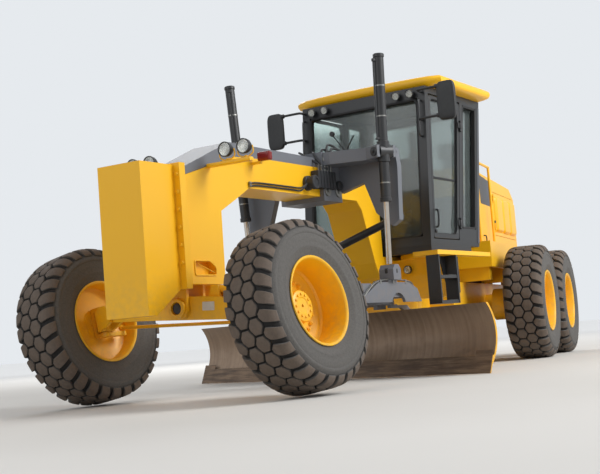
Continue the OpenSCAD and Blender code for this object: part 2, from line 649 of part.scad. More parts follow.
// Front axle: the beam swings about a pin along the machine
module axle_beam() color(yellow) at_axle() {
    difference() {
        plate_x([[-lean_pin_y + 70, -pin_drop + 42], [-520, beam_h / 2 - 15], [-200, beam_h / 2],
            [200, beam_h / 2], [520, beam_h / 2 - 15], [lean_pin_y - 70, -pin_drop + 42],
            [lean_pin_y - 70, -pin_drop - 42], [400, -beam_h / 2], [-400, -beam_h / 2],
            [-lean_pin_y + 70, -pin_drop - 42]], -beam_t / 2, beam_t / 2);
        // Ends narrow between the cheeks of the knuckles
        both_sides() {
            box([45, lean_pin_y - 130, -200], [beam_t, lean_pin_y, 200]);
            box([-beam_t, lean_pin_y - 130, -200], [-45, lean_pin_y, 200]);
        }
    }
    both_sides() difference() {
        union() {
            translate([0, lean_pin_y, -pin_drop]) rod_x(45, -45, 45);
            box([-45, lean_pin_y - 71, -pin_drop - 40], [45, lean_pin_y, -pin_drop + 40]);
        }
        translate([0, lean_pin_y, -pin_drop]) rod_x(28 + run_fit, -46, 46);
    }
    // Pin through the hangers
    rod_x(axle_pin_r, -hanger[1] - 5, hanger[1] + 5);
    // Ears of the lean cylinder above the beam's left half
    difference() {
        for (x = [[32, 54], [-54, -32]])
            plate_x([[lean_base_y - 60, beam_h / 2 - 20], [lean_base_y - 32, lean_base_z + 32],
                [lean_base_y + 32, lean_base_z + 32], [lean_base_y + 60, beam_h / 2 - 20]], x[0], x[1]);
        translate([0, lean_base_y, lean_base_z]) rod_x(18 + run_fit, -55, 55);
    }
}
lean_base_y = 315;
lean_base_z = 150;

// A lean knuckle: cheeks on the lean pin, the kingpin and the lug of the lean bar
cheek = [52, 88];
bar_pin_z = 75;
bar_x = [-175, -139];
lean_arm_y = -20;
lean_arm_z = 200;
module lean_knuckle(s) {
    both = [[cheek[0], cheek[1]], [-cheek[1], -cheek[0]]];
    difference() {
        union() {
            for (x = both) plate_x([[-52, -50], [-52, 50], [-30, 100], [20, 100], [kingpin_out, 70],
                [kingpin_out, -88 - hub_drop], [0, -80]], x[0], x[1]);
            translate([0, kingpin_out, -hub_drop]) rod_z(45, -88, 85);
            box([-cheek[1], kingpin_out - 40, -88 - hub_drop], [cheek[1], kingpin_out, 85 - hub_drop]);
        }
        translate([0, kingpin_out, -hub_drop]) rod_z(29, -89, 89);
    }
    rod_x(28, -cheek[1], cheek[1]);
    translate([0, kingpin_out, -hub_drop]) rod_z(30, -130, 130);
    // Pin of the lean bar behind the knuckle
    translate([0, 0, bar_pin_z]) rod_x(18, bar_x[0] - 6, -cheek[0]);
}
module lean_knuckle_left() color(yellow) at_lean(1) {
    lean_knuckle(1);
    // The arms that the lean cylinder works on, with the heads of its pin
    for (x = [[cheek[0], cheek[1] - 14], [-cheek[1] + 14, -cheek[0]]])
        plate_x([[-50, 45], [lean_arm_y - 34, lean_arm_z], [lean_arm_y - 20, lean_arm_z + 32],
            [lean_arm_y + 20, lean_arm_z + 32], [lean_arm_y + 34, lean_arm_z], [60, 80]], x[0], x[1]);
}
module lean_knuckle_right() color(yellow) at_lean(-1) mirror([0, 1, 0]) lean_knuckle(1);

// The bar that leans both wheels alike
module lean_bar() color(yellow) at_axle() translate([0, 0, -pin_drop])
    difference() {
        union() {
            for (t = [-1, 1]) translate([0, bar_pin(t)[0], bar_pin(t)[1]]) rod_x(36, bar_x[0], bar_x[1]);
            translate([(bar_x[0] + bar_x[1]) / 2, bar_pin(-1)[0], bar_pin(-1)[1]])
                rod_y(17, 30, 2 * lean_pin_y - 30);
        }
        for (t = [-1, 1]) translate([0, bar_pin(t)[0], bar_pin(t)[1]])
            rod_x(18 + run_fit, bar_x[0] - 1, bar_x[1] + 1);
    }
// Place of a lean-bar pin in the beam's frame, as y and z
function bar_pin(s) = [s * lean_pin_y - bar_pin_z * sin(lean_rest - osc_rest),
    bar_pin_z * cos(lean_rest - osc_rest)];

// A steering knuckle: fork on the kingpin, spindle and steering arm
steer_arm = 200;
ear = [95, 130];
hub_bore_r = 60;
kingpin_r = 30;
tie_pin_r = 16;
module spindle() {
    difference() {
        union() {
            for (z = [[ear[0], ear[1]], [-ear[1], -ear[0]]]) {
                rod_z(48, z[0], z[1]);
                box([-45, 0, z[0]], [45, 84, z[1]]);
            }
            box([-45, 52, -ear[1]], [45, 84, ear[1]]);
            box([-steer_arm, -28, -ear[1]], [0, 28, -ear[0]]);
            translate([-steer_arm, 0, 0]) rod_z(34, -ear[1], -ear[0]);
        }
        rod_z(kingpin_r + run_fit, -ear[1] - 1, ear[1] + 1);
        translate([-steer_arm, 0, 0]) rod_z(tie_pin_r + run_fit, -ear[1] - 1, -ear[0] + 1);
    }
    rod_y(hub_bore_r, 83, spindle_out + 12);
}
module spindle_left() color(yellow) at_steer(1) spindle();
module spindle_right() color(yellow) at_steer(-1) mirror([0, 1, 0]) spindle();

// Joint at the left steering arm, and the tie rod from it to the right arm
tie_up = 34;
tie_ear = [19, 30];
module tie_rod_end() color(black) at_lean(1) translate([0, kingpin_out, -hub_drop])
    rotate([0, 0, -steer_rest]) translate([-steer_arm, 0, -ear[0]]) rotate([0, 0, steer_rest]) {
        rod_z(tie_pin_r, -ear[1] + ear[0], 4);
        rod_z(30, 1, 7);
        for (x = [[tie_ear[0], tie_ear[1]], [-tie_ear[1], -tie_ear[0]]])
            box([x[0], -14, 2], [x[1], 14, tie_up]);
        translate([0, 0, tie_up]) rod_x(11, -tie_ear[1], tie_ear[1]);
    }
module tie_rod() color(yellow) at_tie() {
    difference() {
        union() {
            rod_x(22, -16, 16);
            rod_y(15, -tie_len, -12);
        }
        rod_x(11 + run_fit, -17, 17);
    }
    translate([0, -tie_len, 0]) sphere(r = 24);
}
// Both ends in the beam's frame: the kingpin, the arm and the height above it
function arm_end(s) = let (a = lean_rest - osc_rest, y = steer_arm * sin(steer_rest) + s * kingpin_out,
    z = -hub_drop - ear[0] + tie_up)
    [-steer_arm * cos(steer_rest), s * lean_pin_y + y * cos(a) - z * sin(a),
     -pin_drop + y * sin(a) + z * cos(a)];
tie_len = norm(arm_end(1) - arm_end(-1));
tie_tilt = asin((arm_end(1)[2] - arm_end(-1)[2]) / tie_len);
module at_tie() at_axle() translate(arm_end(1)) rotate([tie_tilt, 0, 0]) children();

// The lean cylinder between the beam and the left knuckle
function lean_eye() = let (a = lean_rest - osc_rest)
    [lean_pin_y + lean_arm_y * cos(a) - lean_arm_z * sin(a),
     -pin_drop + lean_arm_y * sin(a) + lean_arm_z * cos(a)];
lean_cyl_len = norm([lean_eye()[0] - lean_base_y, lean_eye()[1] - lean_base_z]);
lean_cyl_slope = atan2(lean_eye()[1] - lean_base_z, lean_eye()[0] - lean_base_y);
module at_lean_cyl() at_axle() translate([0, lean_base_y, lean_base_z])
    rotate([lean_cyl_slope, 0, 0]) children();
module lean_barrel() color(yellow) at_lean_cyl() {
    difference() {
        rod_y(32, 26, 290);
        rod_y(17 + run_fit, 60, 291);
    }
    rod_x(32, -26, 26);
    rod_x(18, -54, 54);
}
module lean_rod() color("silver") at_lean_cyl() {
    rod_y(17, 120, lean_cyl_len - 26);
    translate([0, lean_cyl_len, 0]) rod_x(32, -24, 24);
}

// The drawbar's swivel: upright pin and cross pin
module drawbar_swivel() color(black) at_front() translate([swivel_x, 0, swivel_z]) {
    rod_z(60, -74, 74);
    rod_z(swivel_pin_r, -115, 115);
    rod_y(35, -125, 125);
}

// The drawbar: fork, A frame, circle plate, side skirts and the lift cylinders' sockets
circle_x = 880;
circle_z = [700, 755];
plate_z = [761, 796];
skirt_y = [770, 800];
module drawbar() color(grey) at_front() {
    difference() {
        union() {
            both_sides() {
                translate([swivel_x, 0, swivel_z]) rod_y(70, 80, 120);
                // Side beam from the fork out to the circle plate
                translate([0, 0, plate_z[0]]) linear_extrude(130)
                    polygon([[swivel_x, 80], [swivel_x, 120], [swivel_x - 150, 150], [1500, skirt_y[0] + 1],
                        [1350, skirt_y[0] + 1], [swivel_x - 250, 80]]);
                // Skirt with its arch
                difference() {
                    plate_y([[1560, 712], [1560, 760], [1250, 900], [650, 900], [480, 840], [400, 712]],
                        skirt_y[0], skirt_y[1]);
                    translate([circle_x, 0, 650]) rod_y(150, skirt_y[0] - 1, skirt_y[1] + 1);
                }
                // Socket of the lift cylinder
                box([lift_foot_x - 85, 640, plate_z[1] - 1], [lift_foot_x + 85, skirt_y[1], 921]);
                plate_y([[lift_foot_x - 75, 920], [lift_foot_x + 75, 920], [lift_foot_x + 75, 1020],
                    [lift_foot_x + 38, lift_foot_z - 8], [lift_foot_x - 38, lift_foot_z - 8],
                    [lift_foot_x - 75, 1020]], lift_foot_y - 75, lift_foot_y + 75);
            }
            translate([0, 0, plate_z[0]]) linear_extrude(plate_z[1] - plate_z[0])
                polygon([[1500, skirt_y[0] + 1], [1500, -skirt_y[0] - 1], [420, -skirt_y[0] - 1],
                    [circle_x - circle_r + 40, -300], [circle_x - circle_r + 40, 300],
                    [420, skirt_y[0] + 1]]);
        }
        translate([swivel_x, 0, swivel_z]) rod_y(35 + run_fit, -160, 160);
        // Opening in the middle of the circle plate
        translate([circle_x, 0, 0]) rod_z(330, plate_z[0] - 1, plate_z[1] + 1);
    }
    // Guide shoes that carry the circle
    for (a = [45, 135, 225, 315]) translate([circle_x, 0, 0]) rotate([0, 0, a]) {
        box([ring_in - 51, -70, circle_z[0] - 36], [ring_in - 11, 70, plate_z[0] + 1]);
        box([ring_in - 51, -70, circle_z[0] - 36], [ring_in + 35, 70, circle_z[0] - seat_gap]);
    }
    // Bracket below the centre-shift rod's eye, sloped where the eye swings down past it
    plate_y([[shift_x - 80, plate_z[1] - 1], [shift_x + 75, plate_z[1] - 1],
        [shift_x + 75, shift_eye_z - shift_eye_r - side_gap],
        [shift_x + 22, shift_eye_z - shift_eye_r - side_gap]], shift_eye_y - 45, shift_eye_y + 45);
}

// The circle: gear ring with the arms that hold the blade
ring_w = 115;
ring_in = circle_r - ring_w;
blade_back = 460;
arm_y = 470;
pitch_x = -630;
pitch_z = 330;
pitch_pin_r = 30;
module at_circle() at_front() translate([circle_x, 0, 0]) rotate([0, 0, -circle_rest]) children();
module circle_ring() color(grey) at_circle() {
    difference() {
        rod_z(circle_r, circle_z[0], circle_z[1]);
        rod_z(ring_in, circle_z[0] - 1, circle_z[1] + 1);
    }
    both_sides() difference() {
        plate_y([[-365, circle_z[0] + 1], [-455, circle_z[0] + 1], [-470, circle_z[0] - 10],
            [pitch_x + 30, circle_z[0] - 10], [pitch_x - 65, 590], [pitch_x - 65, pitch_z - 30],
            [pitch_x - 30, pitch_z - 65], [pitch_x + 30, pitch_z - 65], [pitch_x + 65, pitch_z - 30],
            [pitch_x + 65, pitch_z + 65], [pitch_x + 18, pitch_z + 90], [pitch_x + 18, 600],
            [-520, circle_z[0] - 36], [-365, circle_z[0] - 32]], arm_y, arm_y + 40);
        translate([pitch_x, 0, pitch_z]) rod_y(pitch_pin_r + run_fit, arm_y - 1, arm_y + 41);
    }
}

// The blade carrier: pitches on the circle's arms and holds the moldboard's rails
rail_low_z = 210;
rail_high_z = 500;
rail_x0 = -blade_back - 128;
module blade_carrier() color(grey) at_circle() {
    translate([pitch_x, 0, pitch_z]) rod_y(pitch_pin_r, -arm_y - 40, arm_y + 40);
    translate([pitch_x, 0, pitch_z]) rod_y(55, -arm_y + 6, arm_y - 6);
    for (y = [-arm_y + 60, arm_y - 160]) {
        plate_y([[pitch_x - 20, pitch_z - 30], [pitch_x - 20, pitch_z + 60],
            [rail_x0 - 60, rail_high_z + 45], [rail_x0 - 20, rail_high_z + 45],
            [rail_x0 - 30, rail_low_z - 45], [rail_x0 - 50, rail_low_z - 45]],
            y, y + 100);
        for (z = [rail_low_z, rail_high_z]) for (dz = [-42, 20 + seat_gap])
            box([rail_x0 - 31, y, z + dz], [rail_x0 + 25, y + 100, z + dz + 22 - seat_gap]);
    }
}

// The moldboard: curved plate, cutting edge, end bits and slide rails
curve_x = -blade_back + blade_curve_r - 70;
curve_z = (blade_top_z + 90) / 2;
module at_blade() at_circle() translate([0, -blade_shift_rest, 0]) children();
module moldboard() color(yellow) at_blade() {
    // The curved plate is the part of a ring behind its chord
    intersection() {
        translate([curve_x, 0, curve_z]) difference() {
            rod_y(blade_curve_r + blade_t, -blade_len / 2, blade_len / 2, $fn = 96);
            rod_y(blade_curve_r, -blade_len / 2 - 1, blade_len / 2 + 1, $fn = 96);
        }
        box([curve_x - blade_curve_r - blade_t - 1, -blade_len / 2 - 2, 90],
            [curve_x - 100, blade_len / 2 + 2, blade_top_z]);
    }
    // Cutting edge with its end bits
    plate_y([[-blade_back + 72, edge_gap], [-blade_back + 60, edge_gap], [-blade_back - 8, 165],
        [-blade_back + 12, 165]], -blade_len / 2 - 12, blade_len / 2 + 12);
    // Slide rails on the back
    for (z = [rail_low_z, rail_high_z])
        box([rail_x0, -blade_len / 2 + 300, z - 20], [rail_x0 + 75, blade_len / 2 - 300, z + 20]);
}

// Tandem cases on the rear axle stubs
case_half = 185;
case_w = 190;
module tandem(s) at_rear() side(s) translate([tandem_x, 0, rear_hub_z]) {
    difference() {
        union() {
            box([-tandem_pitch / 2, tandem_in, -case_half],
                [tandem_pitch / 2, tandem_in + case_w, case_half]);
            for (x = [-1, 1]) translate([x * tandem_pitch / 2, 0, 0])
                rod_y(case_half, tandem_in, tandem_in + case_w);
        }
        rod_y(stub_r + run_fit, tandem_in - 1, tandem_in + 140);
    }
    for (x = [-1, 1]) translate([x * tandem_pitch / 2, 0, 0])
        rod_y(hub_bore_r, tandem_in + case_w - 1, rear_wheel_y + 12);
}
module tandem_left() color(yellow) tandem(1);
module tandem_right() color(yellow) tandem(-1);

// A wheel: tyre, and a rim whose disc lies off the middle at disc_y
module tyre() color(black) rotate([90, 0, 0]) rotate_extrude($fn = 72)
    polygon([for (p = tyre_half) [p[1], p[0]], for (i = [len(tyre_half) - 1 : -1 : 0])
        [tyre_half[i][1], -tyre_half[i][0]]]);
barrel_out = rim_r - 11 - seat_gap;
module rim(disc_y, hub_in, hub_out) color(yellow) rotate([-90, 0, 0]) rotate_extrude($fn = 72)
    polygon([[hub_bore_r + run_fit, hub_in], [130, hub_in], [130, disc_y - 12],
        [barrel_out - 16, disc_y - 12],
        [barrel_out - 16, -rim_w / 2], [rim_r, -rim_w / 2], [rim_r, -rim_w / 2 + 12],
        [barrel_out, -rim_w / 2 + 14], [barrel_out, rim_w / 2 - 14], [rim_r, rim_w / 2 - 12],
        [rim_r, rim_w / 2], [barrel_out - 16, rim_w / 2], [barrel_out - 16, disc_y + 12], [130, disc_y + 12],
        [130, hub_out - 20], [110, hub_out], [0, hub_out], [0, 15], [hub_bore_r + run_fit, 15]]);
front_disc = -55;
rear_disc = 60;
front_hub_in = -spindle_out + 90;
rear_hub_in = -(rear_wheel_y - tandem_in - case_w) + 6;
module front_wheel(s) at_front_wheel(s) side(s) {
    tyre();
    rim(front_disc, front_hub_in, 45);
}
module rear_wheel(s, x) at_rear() translate([tandem_x + x * tandem_pitch / 2, s * rear_wheel_y, rear_hub_z])
    side(s) {
        tyre();
        rim(rear_disc, rear_hub_in, 110);
    }

push_block();
front_frame();
gooseneck_cover();
front_lamps();
saddle();
cab_floor();
cab_shell();
cab_roof();
cab_glass();
seat();
controls();
mirrors();
platforms();
cab_door_left();
cab_door_right();
rear_frame();
hood();
engine();
rear_deck();
exhaust();
rear_grille();
rear_lamps();
hood_door_left();
hood_door_right();
axle_beam();
lean_knuckle_left();
lean_knuckle_right();
spindle_left();
spindle_right();
lean_bar();
tie_rod_end();
tie_rod();
lean_barrel();
lean_rod();
drawbar_swivel();
drawbar();
circle_ring();
blade_carrier();
moldboard();
lift_barrel(1);  // lift_barrel_left
lift_barrel(-1);  // lift_barrel_right
lift_rod(1);  // lift_rod_left
lift_rod(-1);  // lift_rod_right
shift_barrel();
shift_rod();
tandem_left();
tandem_right();
front_wheel(1);  // wheel_front_left
front_wheel(-1);  // wheel_front_right
rear_wheel(1, 1);  // wheel_rear_left_1
rear_wheel(1, -1);  // wheel_rear_left_2
rear_wheel(-1, 1);  // wheel_rear_right_1
rear_wheel(-1, -1);  // wheel_rear_right_2
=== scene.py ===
import bpy
import numpy as np
from mathutils import Matrix


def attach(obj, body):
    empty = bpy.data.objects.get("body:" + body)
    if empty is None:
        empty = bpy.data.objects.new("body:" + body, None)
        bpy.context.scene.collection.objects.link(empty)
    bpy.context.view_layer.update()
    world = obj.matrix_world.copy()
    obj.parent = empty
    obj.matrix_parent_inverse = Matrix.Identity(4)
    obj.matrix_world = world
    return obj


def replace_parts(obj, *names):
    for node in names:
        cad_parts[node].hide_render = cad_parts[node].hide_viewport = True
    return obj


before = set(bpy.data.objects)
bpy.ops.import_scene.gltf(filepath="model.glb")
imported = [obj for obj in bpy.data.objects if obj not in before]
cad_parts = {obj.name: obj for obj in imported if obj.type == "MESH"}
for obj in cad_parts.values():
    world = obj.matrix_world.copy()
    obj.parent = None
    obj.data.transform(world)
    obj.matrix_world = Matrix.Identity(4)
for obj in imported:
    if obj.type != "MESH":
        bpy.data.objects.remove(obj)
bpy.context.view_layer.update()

# Where the photograph is taken from
# A low stand ahead of the left front wheel, with a short telephoto lens held a little
# crooked. The eye is 0.45 m above the ground and looks slightly up at the machine.
def posed(x, y, z, origin):
    """The 4 by 4 matrix whose axes are x, y and z and whose origin is that point."""
    made = np.eye(4)
    made[:3, 0], made[:3, 1], made[:3, 2], made[:3, 3] = x, y, z, origin
    return made


eye = np.array([11.083, 6.246, 0.451])
yaw, pitch, roll = np.radians([-147.89, 4.92, -4.42])
ahead = np.array([np.cos(pitch) * np.cos(yaw), np.cos(pitch) * np.sin(yaw), np.sin(pitch)])
level = np.cross(ahead, [0, 0, 1]) / np.cos(pitch)
above = np.cross(level, ahead)
sight = posed(level * np.cos(roll) + above * np.sin(roll),
              above * np.cos(roll) - level * np.sin(roll), -ahead, eye)
camera = bpy.data.objects.new("camera", bpy.data.cameras.new("camera"))
bpy.context.scene.collection.objects.link(camera)
camera.matrix_world = Matrix(sight.tolist())
camera.data.sensor_width = 36
camera.data.lens = 69.88
camera.data.clip_end = 500
bpy.context.scene.camera = camera
bpy.context.scene.view_settings.view_transform = "Standard"


# Studio: pale floor, pale surround and soft lamps
# A seamless pale floor under a broad lamp on the machine's left, as the sun stands in the
# photograph, with a weaker one on the right and even light from all round.
def linear(hex_colour):
    """Linear RGBA of an sRGB hex colour: c/12.92 below 0.04045, else ((c+0.055)/1.055)^2.4."""
    c = np.array([int(hex_colour[i:i + 2], 16) for i in (1, 3, 5)]) / 255
    c = np.where(c <= 0.04045, c / 12.92, ((c + 0.055) / 1.055) ** 2.4)
    return (*c.tolist(), 1.0)


def add(tree, kind, wires=None, **settings):
    """One shader node: kind is its type without the word ShaderNode, settings are its
    properties, and wires give each socket a value or a link."""
    made = tree.nodes.new("ShaderNode" + kind)
    for key, value in settings.items():
        setattr(made, key, value)
    for key, value in (wires or {}).items():
        if isinstance(value, bpy.types.NodeSocket):
            tree.links.new(value, made.inputs[key])
        else:
            made.inputs[key].default_value = value
    return made


def shader_of(material):
    """A material's Principled shader."""
    return material.node_tree.nodes["Principled BSDF"]


def finish(name, hex_colour, roughness, metallic=0.0):
    """A material with one Principled shader of that colour, roughness and metallic share."""
    made = bpy.data.materials.new(name)
    made.use_nodes = True
    shader = shader_of(made)
    shader.inputs["Base Color"].default_value = linear(hex_colour)
    shader.inputs["Roughness"].default_value = roughness
    shader.inputs["Metallic"].default_value = metallic
    return made


def two_tone(tree, vector, first_hex, second_hex, **noise):
    """Two colours mixed by a noise that has those settings; gives the colour and the noise."""
    cloud = add(tree, "TexNoise", {"Vector": vector, **noise}).outputs["Fac"]
    tone = add(tree, "Mix", {0: cloud, 6: linear(first_hex), 7: linear(second_hex)}, data_type="RGBA")
    return tone.outputs[2], cloud


surround = linear("#e6eaee")
world = bpy.data.worlds.new("studio")
bpy.context.scene.world = world
world.use_nodes = True
sky = world.node_tree
sky.nodes.clear()
ray = add(sky, "LightPath")
seen = add(sky, "Math", {0: ray.outputs["Is Camera Ray"], 1: ray.outputs["Is Glossy Ray"]},
           operation="MAXIMUM")
seen = add(sky, "Math", {0: seen.outputs[0], 1: ray.outputs["Is Transmission Ray"]}, operation="MAXIMUM")
fill = add(sky, "Background", {"Color": linear("#f4f6fa"), "Strength": 0.42})
pale = add(sky, "Background", {"Color": surround, "Strength": 1.0})
both = add(sky, "MixShader", {0: seen.outputs[0], 1: fill.outputs[0], 2: pale.outputs[0]})
add(sky, "OutputWorld", {0: both.outputs[0]})

floor_card = finish("floor_card", "#d9d6d0", 0.9)
tree, shader = floor_card.node_tree, shader_of(floor_card)
place = add(tree, "TexCoord").outputs["Object"]
tone = two_tone(tree, place, "#d4d1cb", "#dedbd6", Scale=0.35)[0]
tree.links.new(tone, shader.inputs["Base Color"])
# Beyond the lamps' reach the card glows as the surround does, so no dark band shows behind
lamp_reach, full_glow = 6.0, 24.0
far = add(tree, "VectorMath", {0: place}, operation="LENGTH")
glow = add(tree, "MapRange", {"Value": far.outputs["Value"], "From Min": lamp_reach,
                              "From Max": full_glow, "To Max": 0.55})
tree.links.new(glow.outputs[0], shader.inputs["Emission Strength"])
shader.inputs["Emission Color"].default_value = surround
floor = bpy.data.objects.new("floor", bpy.data.meshes.new("floor"))
far_edge = 90
floor.data.from_pydata([(-far_edge, -far_edge, 0), (far_edge, -far_edge, 0), (far_edge, far_edge, 0),
                        (-far_edge, far_edge, 0)], [], [(0, 1, 2, 3)])
floor.data.materials.append(floor_card)
bpy.context.scene.collection.objects.link(floor)

# Columns: name, place, width in metres, power in watts. Each looks at the machine's middle.
machine_middle = [0, 0, 1.0]
for name, place, width, power in (("key_lamp", (-1.5, 12.0, 9.0), 7.0, 1750.0),
                                  ("front_lamp", (13.0, -3.0, 7.0), 7.0, 230.0),
                                  ("back_lamp", (-11.0, -9.0, 9.0), 8.0, 900.0)):
    light = bpy.data.objects.new(name, bpy.data.lights.new(name, "AREA"))
    light.data.size = width
    light.data.energy = power
    away = np.array(place) - machine_middle
    away /= np.linalg.norm(away)
    side = np.cross([0, 0, 1.0], away)
    side /= np.linalg.norm(side)
    light.matrix_world = Matrix(posed(side, np.cross(away, side), away, place).tolist())
    bpy.context.scene.collection.objects.link(light)


# Painted steelwork: frames, hood, axle and blade parts
# Welded steel plate and castings, sprayed with a baked two-part enamel. New paint: even
# and half glossy, with a fine orange peel, and dust from the ground on its lower parts.
dust_hex, low_dust, shelf_dust = "#9c8466", 0.55, 0.16
clean_above = 1.15


def enamel(name, hex_colour, deep_hex, roughness):
    """Sprayed enamel: base = mix(colour, deep, soft noise 1.2 m wide), then dust = the larger of
    its share by height and by how far a face looks up, times its patches. Edges are rounded by
    4 mm in the shading."""
    made = finish(name, hex_colour, roughness)
    tree, shader = made.node_tree, shader_of(made)
    texture = add(tree, "TexCoord")
    place = texture.outputs["Object"]
    tone = two_tone(tree, place, hex_colour, deep_hex, Scale=0.8, Detail=2.0)[0]
    height = add(tree, "SeparateXYZ", {0: place})
    low = add(tree, "MapRange", {"Value": height.outputs["Z"], "From Min": clean_above,
                                 "From Max": 0.1, "To Max": low_dust})
    upward = add(tree, "SeparateXYZ", {0: texture.outputs["Normal"]})
    shelf = add(tree, "MapRange", {"Value": upward.outputs["Z"], "From Min": 0.6,
                                   "From Max": 1.0, "To Max": shelf_dust})
    settled = add(tree, "Math", {0: low.outputs[0], 1: shelf.outputs[0]}, operation="MAXIMUM")
    # Dust lies in patches some 60 mm across
    patch = add(tree, "TexNoise", {"Vector": place, "Scale": 16.0, "Detail": 6.0, "Roughness": 0.65})
    patch = add(tree, "MapRange", {"Value": patch.outputs["Fac"], "From Min": 0.38, "From Max": 0.72})
    dust = add(tree, "Math", {0: settled.outputs[0], 1: patch.outputs[0]}, operation="MULTIPLY")
    base = add(tree, "Mix", {0: dust.outputs[0], 6: tone, 7: linear(dust_hex)}, data_type="RGBA")
    tree.links.new(base.outputs[2], shader.inputs["Base Color"])
    dull = add(tree, "MapRange", {"Value": dust.outputs[0], "To Min": roughness, "To Max": 0.85})
    tree.links.new(dull.outputs[0], shader.inputs["Roughness"])
    # Orange peel, 5 mm across
    peel = add(tree, "TexNoise", {"Vector": place, "Scale": 200.0})
    worn = add(tree, "Bevel", {"Radius": 0.004}, samples=4)
    bump = add(tree, "Bump", {"Strength": 0.04, "Distance": 0.001, "Height": peel.outputs["Fac"],
                              "Normal": worn.outputs[0]})
    tree.links.new(bump.outputs[0], shader.inputs["Normal"])
    shader.inputs["Coat Weight"].default_value = 0.1
    shader.inputs["Coat Roughness"].default_value = 0.2
    return made


yellow_look = "#fcc20e", "#f4b508", 0.42
black_hex = "#1d1e20"
yellow = enamel("yellow_enamel", *yellow_look)
grey = enamel("grey_enamel", "#6d7077", "#63666c", 0.55)
black = enamel("black_powder_coat", black_hex, "#17181a", 0.45)


def dress(material, *names):
    """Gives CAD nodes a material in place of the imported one."""
    for name in names:
        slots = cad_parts[name].data.materials
        slots.clear()
        slots.append(material)


dress(yellow, "push_block", "front_frame", "rear_frame", "hood", "rear_deck",
      "hood_door_left", "hood_door_right", "axle_beam", "lean_knuckle_left", "lean_knuckle_right",
      "spindle_left", "spindle_right", "lean_bar", "tie_rod", "lean_barrel", "tandem_left",
      "tandem_right")
dress(grey, "gooseneck_cover", "saddle", "drawbar", "circle_ring", "blade_carrier")
dress(black, "cab_floor", "cab_shell", "drawbar_swivel", "tie_rod_end", "lift_barrel_left",
      "lift_barrel_right", "shift_barrel", "rear_grille")


# Places on the machine
# The parts stand turned and leaned as parked: rear frame 11 degrees to the left at the hinge,
# front wheels leaned 10 and steered 4 degrees, circle turned 16 degrees.
def shift(x, y, z):
    """A move by x, y, z as a 4 by 4 matrix."""
    moved = np.eye(4)
    moved[:3, 3] = x, y, z
    return moved


def turn(axis, degrees):
    """A turn about the x, y or z axis (0, 1, 2) as a 4 by 4 matrix."""
    c, s = np.cos(np.radians(degrees)), np.sin(np.radians(degrees))
    i, j = [(1, 2), (2, 0), (0, 1)][axis]
    turned = np.eye(4)
    turned[i, i], turned[i, j], turned[j, i], turned[j, j] = c, -s, s, c
    return turned


def flip(s):
    """No change for s = 1 (left), the mirror image in the middle plane for s = -1 (right)."""
    return np.diag([1.0, s, 1.0, 1.0])


sides = ((1, "left"), (-1, "right"))
axle_x, tandem_x, hinge_x = 3.08, -3.08, -0.98
front_x, front_y = 0.429, 0.357
rear_turn, circle_turn, steer = 11, -16, -4
front = shift(front_x, front_y, 0)
rear = front @ shift(hinge_x, 0, 0) @ turn(2, rear_turn) @ shift(-hinge_x, 0, 0)
front_sides = [front @ flip(s) for s in (1, -1)]
rear_sides = [rear @ flip(s) for s in (1, -1)]
beam_tilt, knuckle_lean, beam_z = -3.118, 13.118, 0.75893
axle = front @ shift(axle_x, 0, beam_z) @ turn(0, beam_tilt)
circle_x = 0.88
circle = front @ shift(circle_x, 0, 0) @ turn(2, circle_turn)


# Tyres
# Radial road tyres 1.33 m across and 0.47 m wide, natural and carbon-black rubber cured in a
# mould: two rows of six-sided blocks in the middle and slanted blocks over each shoulder.
def volume(points, quads, tris):
    """Signed volume of closed faces: the sum of a . (b x c) / 6 over their triangles."""
    fans = np.concatenate([quads[:, [0, 1, 2]], quads[:, [0, 2, 3]], tris])
    a, b, c = (points[fans[:, i]] for i in range(3))
    return np.einsum("ij,ij->", a, np.cross(b, c)) / 6


def outward(points, quads, tris):
    """The same shape with its faces turned to look outwards."""
    if volume(points, quads, tris) < 0:
        quads, tris = quads[:, ::-1], tris[:, ::-1]
    return points, quads, tris


def sheet_quads(rows, cols, wrap_rows=False, wrap_cols=False):
    """Corner numbers of the cells of a grid of points, optionally joined end to end."""
    r = np.arange(rows if wrap_rows else rows - 1)[:, None]
    c = np.arange(cols if wrap_cols else cols - 1)[None, :]
    r2, c2 = (r + 1) % rows, (c + 1) % cols
    cells = [r * cols + c, r * cols + c2, r2 * cols + c2, r2 * cols + c]
    return np.stack([np.broadcast_to(k, (r.size, c.size)) for k in cells], -1).reshape(-1, 4)


def shell(rings, loop=False):
    """A closed surface through closed rings of points (rows, columns, 3). With loop the last
    ring joins the first; otherwise each end is closed to the middle of its ring."""
    rows, cols = rings.shape[:2]
    quads = sheet_quads(rows, cols, loop, True)
    if loop:
        return outward(rings.reshape(-1, 3), quads, np.zeros((0, 3), int))
    points = np.concatenate([rings.reshape(-1, 3), [rings[0].mean(0), rings[-1].mean(0)]])
    k = np.arange(cols)
    k2, last, n = (k + 1) % cols, (rows - 1) * cols, rows * cols
    tris = np.concatenate([np.stack([k2, k, np.full(cols, n)], 1),
                           np.stack([last + k, last + k2, np.full(cols, n + 1)], 1)])
    return outward(points, quads, tris)


def revolve(profile, steps, loop=False):
    """A profile of (y, radius) turned about the y axis: point = (r sin a, y, r cos a)."""
    y, r = np.array(profile, float).T
    a = np.linspace(0, 2 * np.pi, steps, endpoint=False)
    rings = np.stack([r[:, None] * np.sin(a), np.repeat(y[:, None], steps, 1),
                      r[:, None] * np.cos(a)], -1)
    return shell(rings, loop)


def many(blocks, quads, tris):
    """Copies of one shape as one: blocks holds the points of each copy (copies, points, 3)."""
    jump = (np.arange(len(blocks)) * blocks.shape[1])[:, None, None]
    return blocks.reshape(-1, 3), (quads + jump).reshape(-1, 4), (tris + jump).reshape(-1, 3)


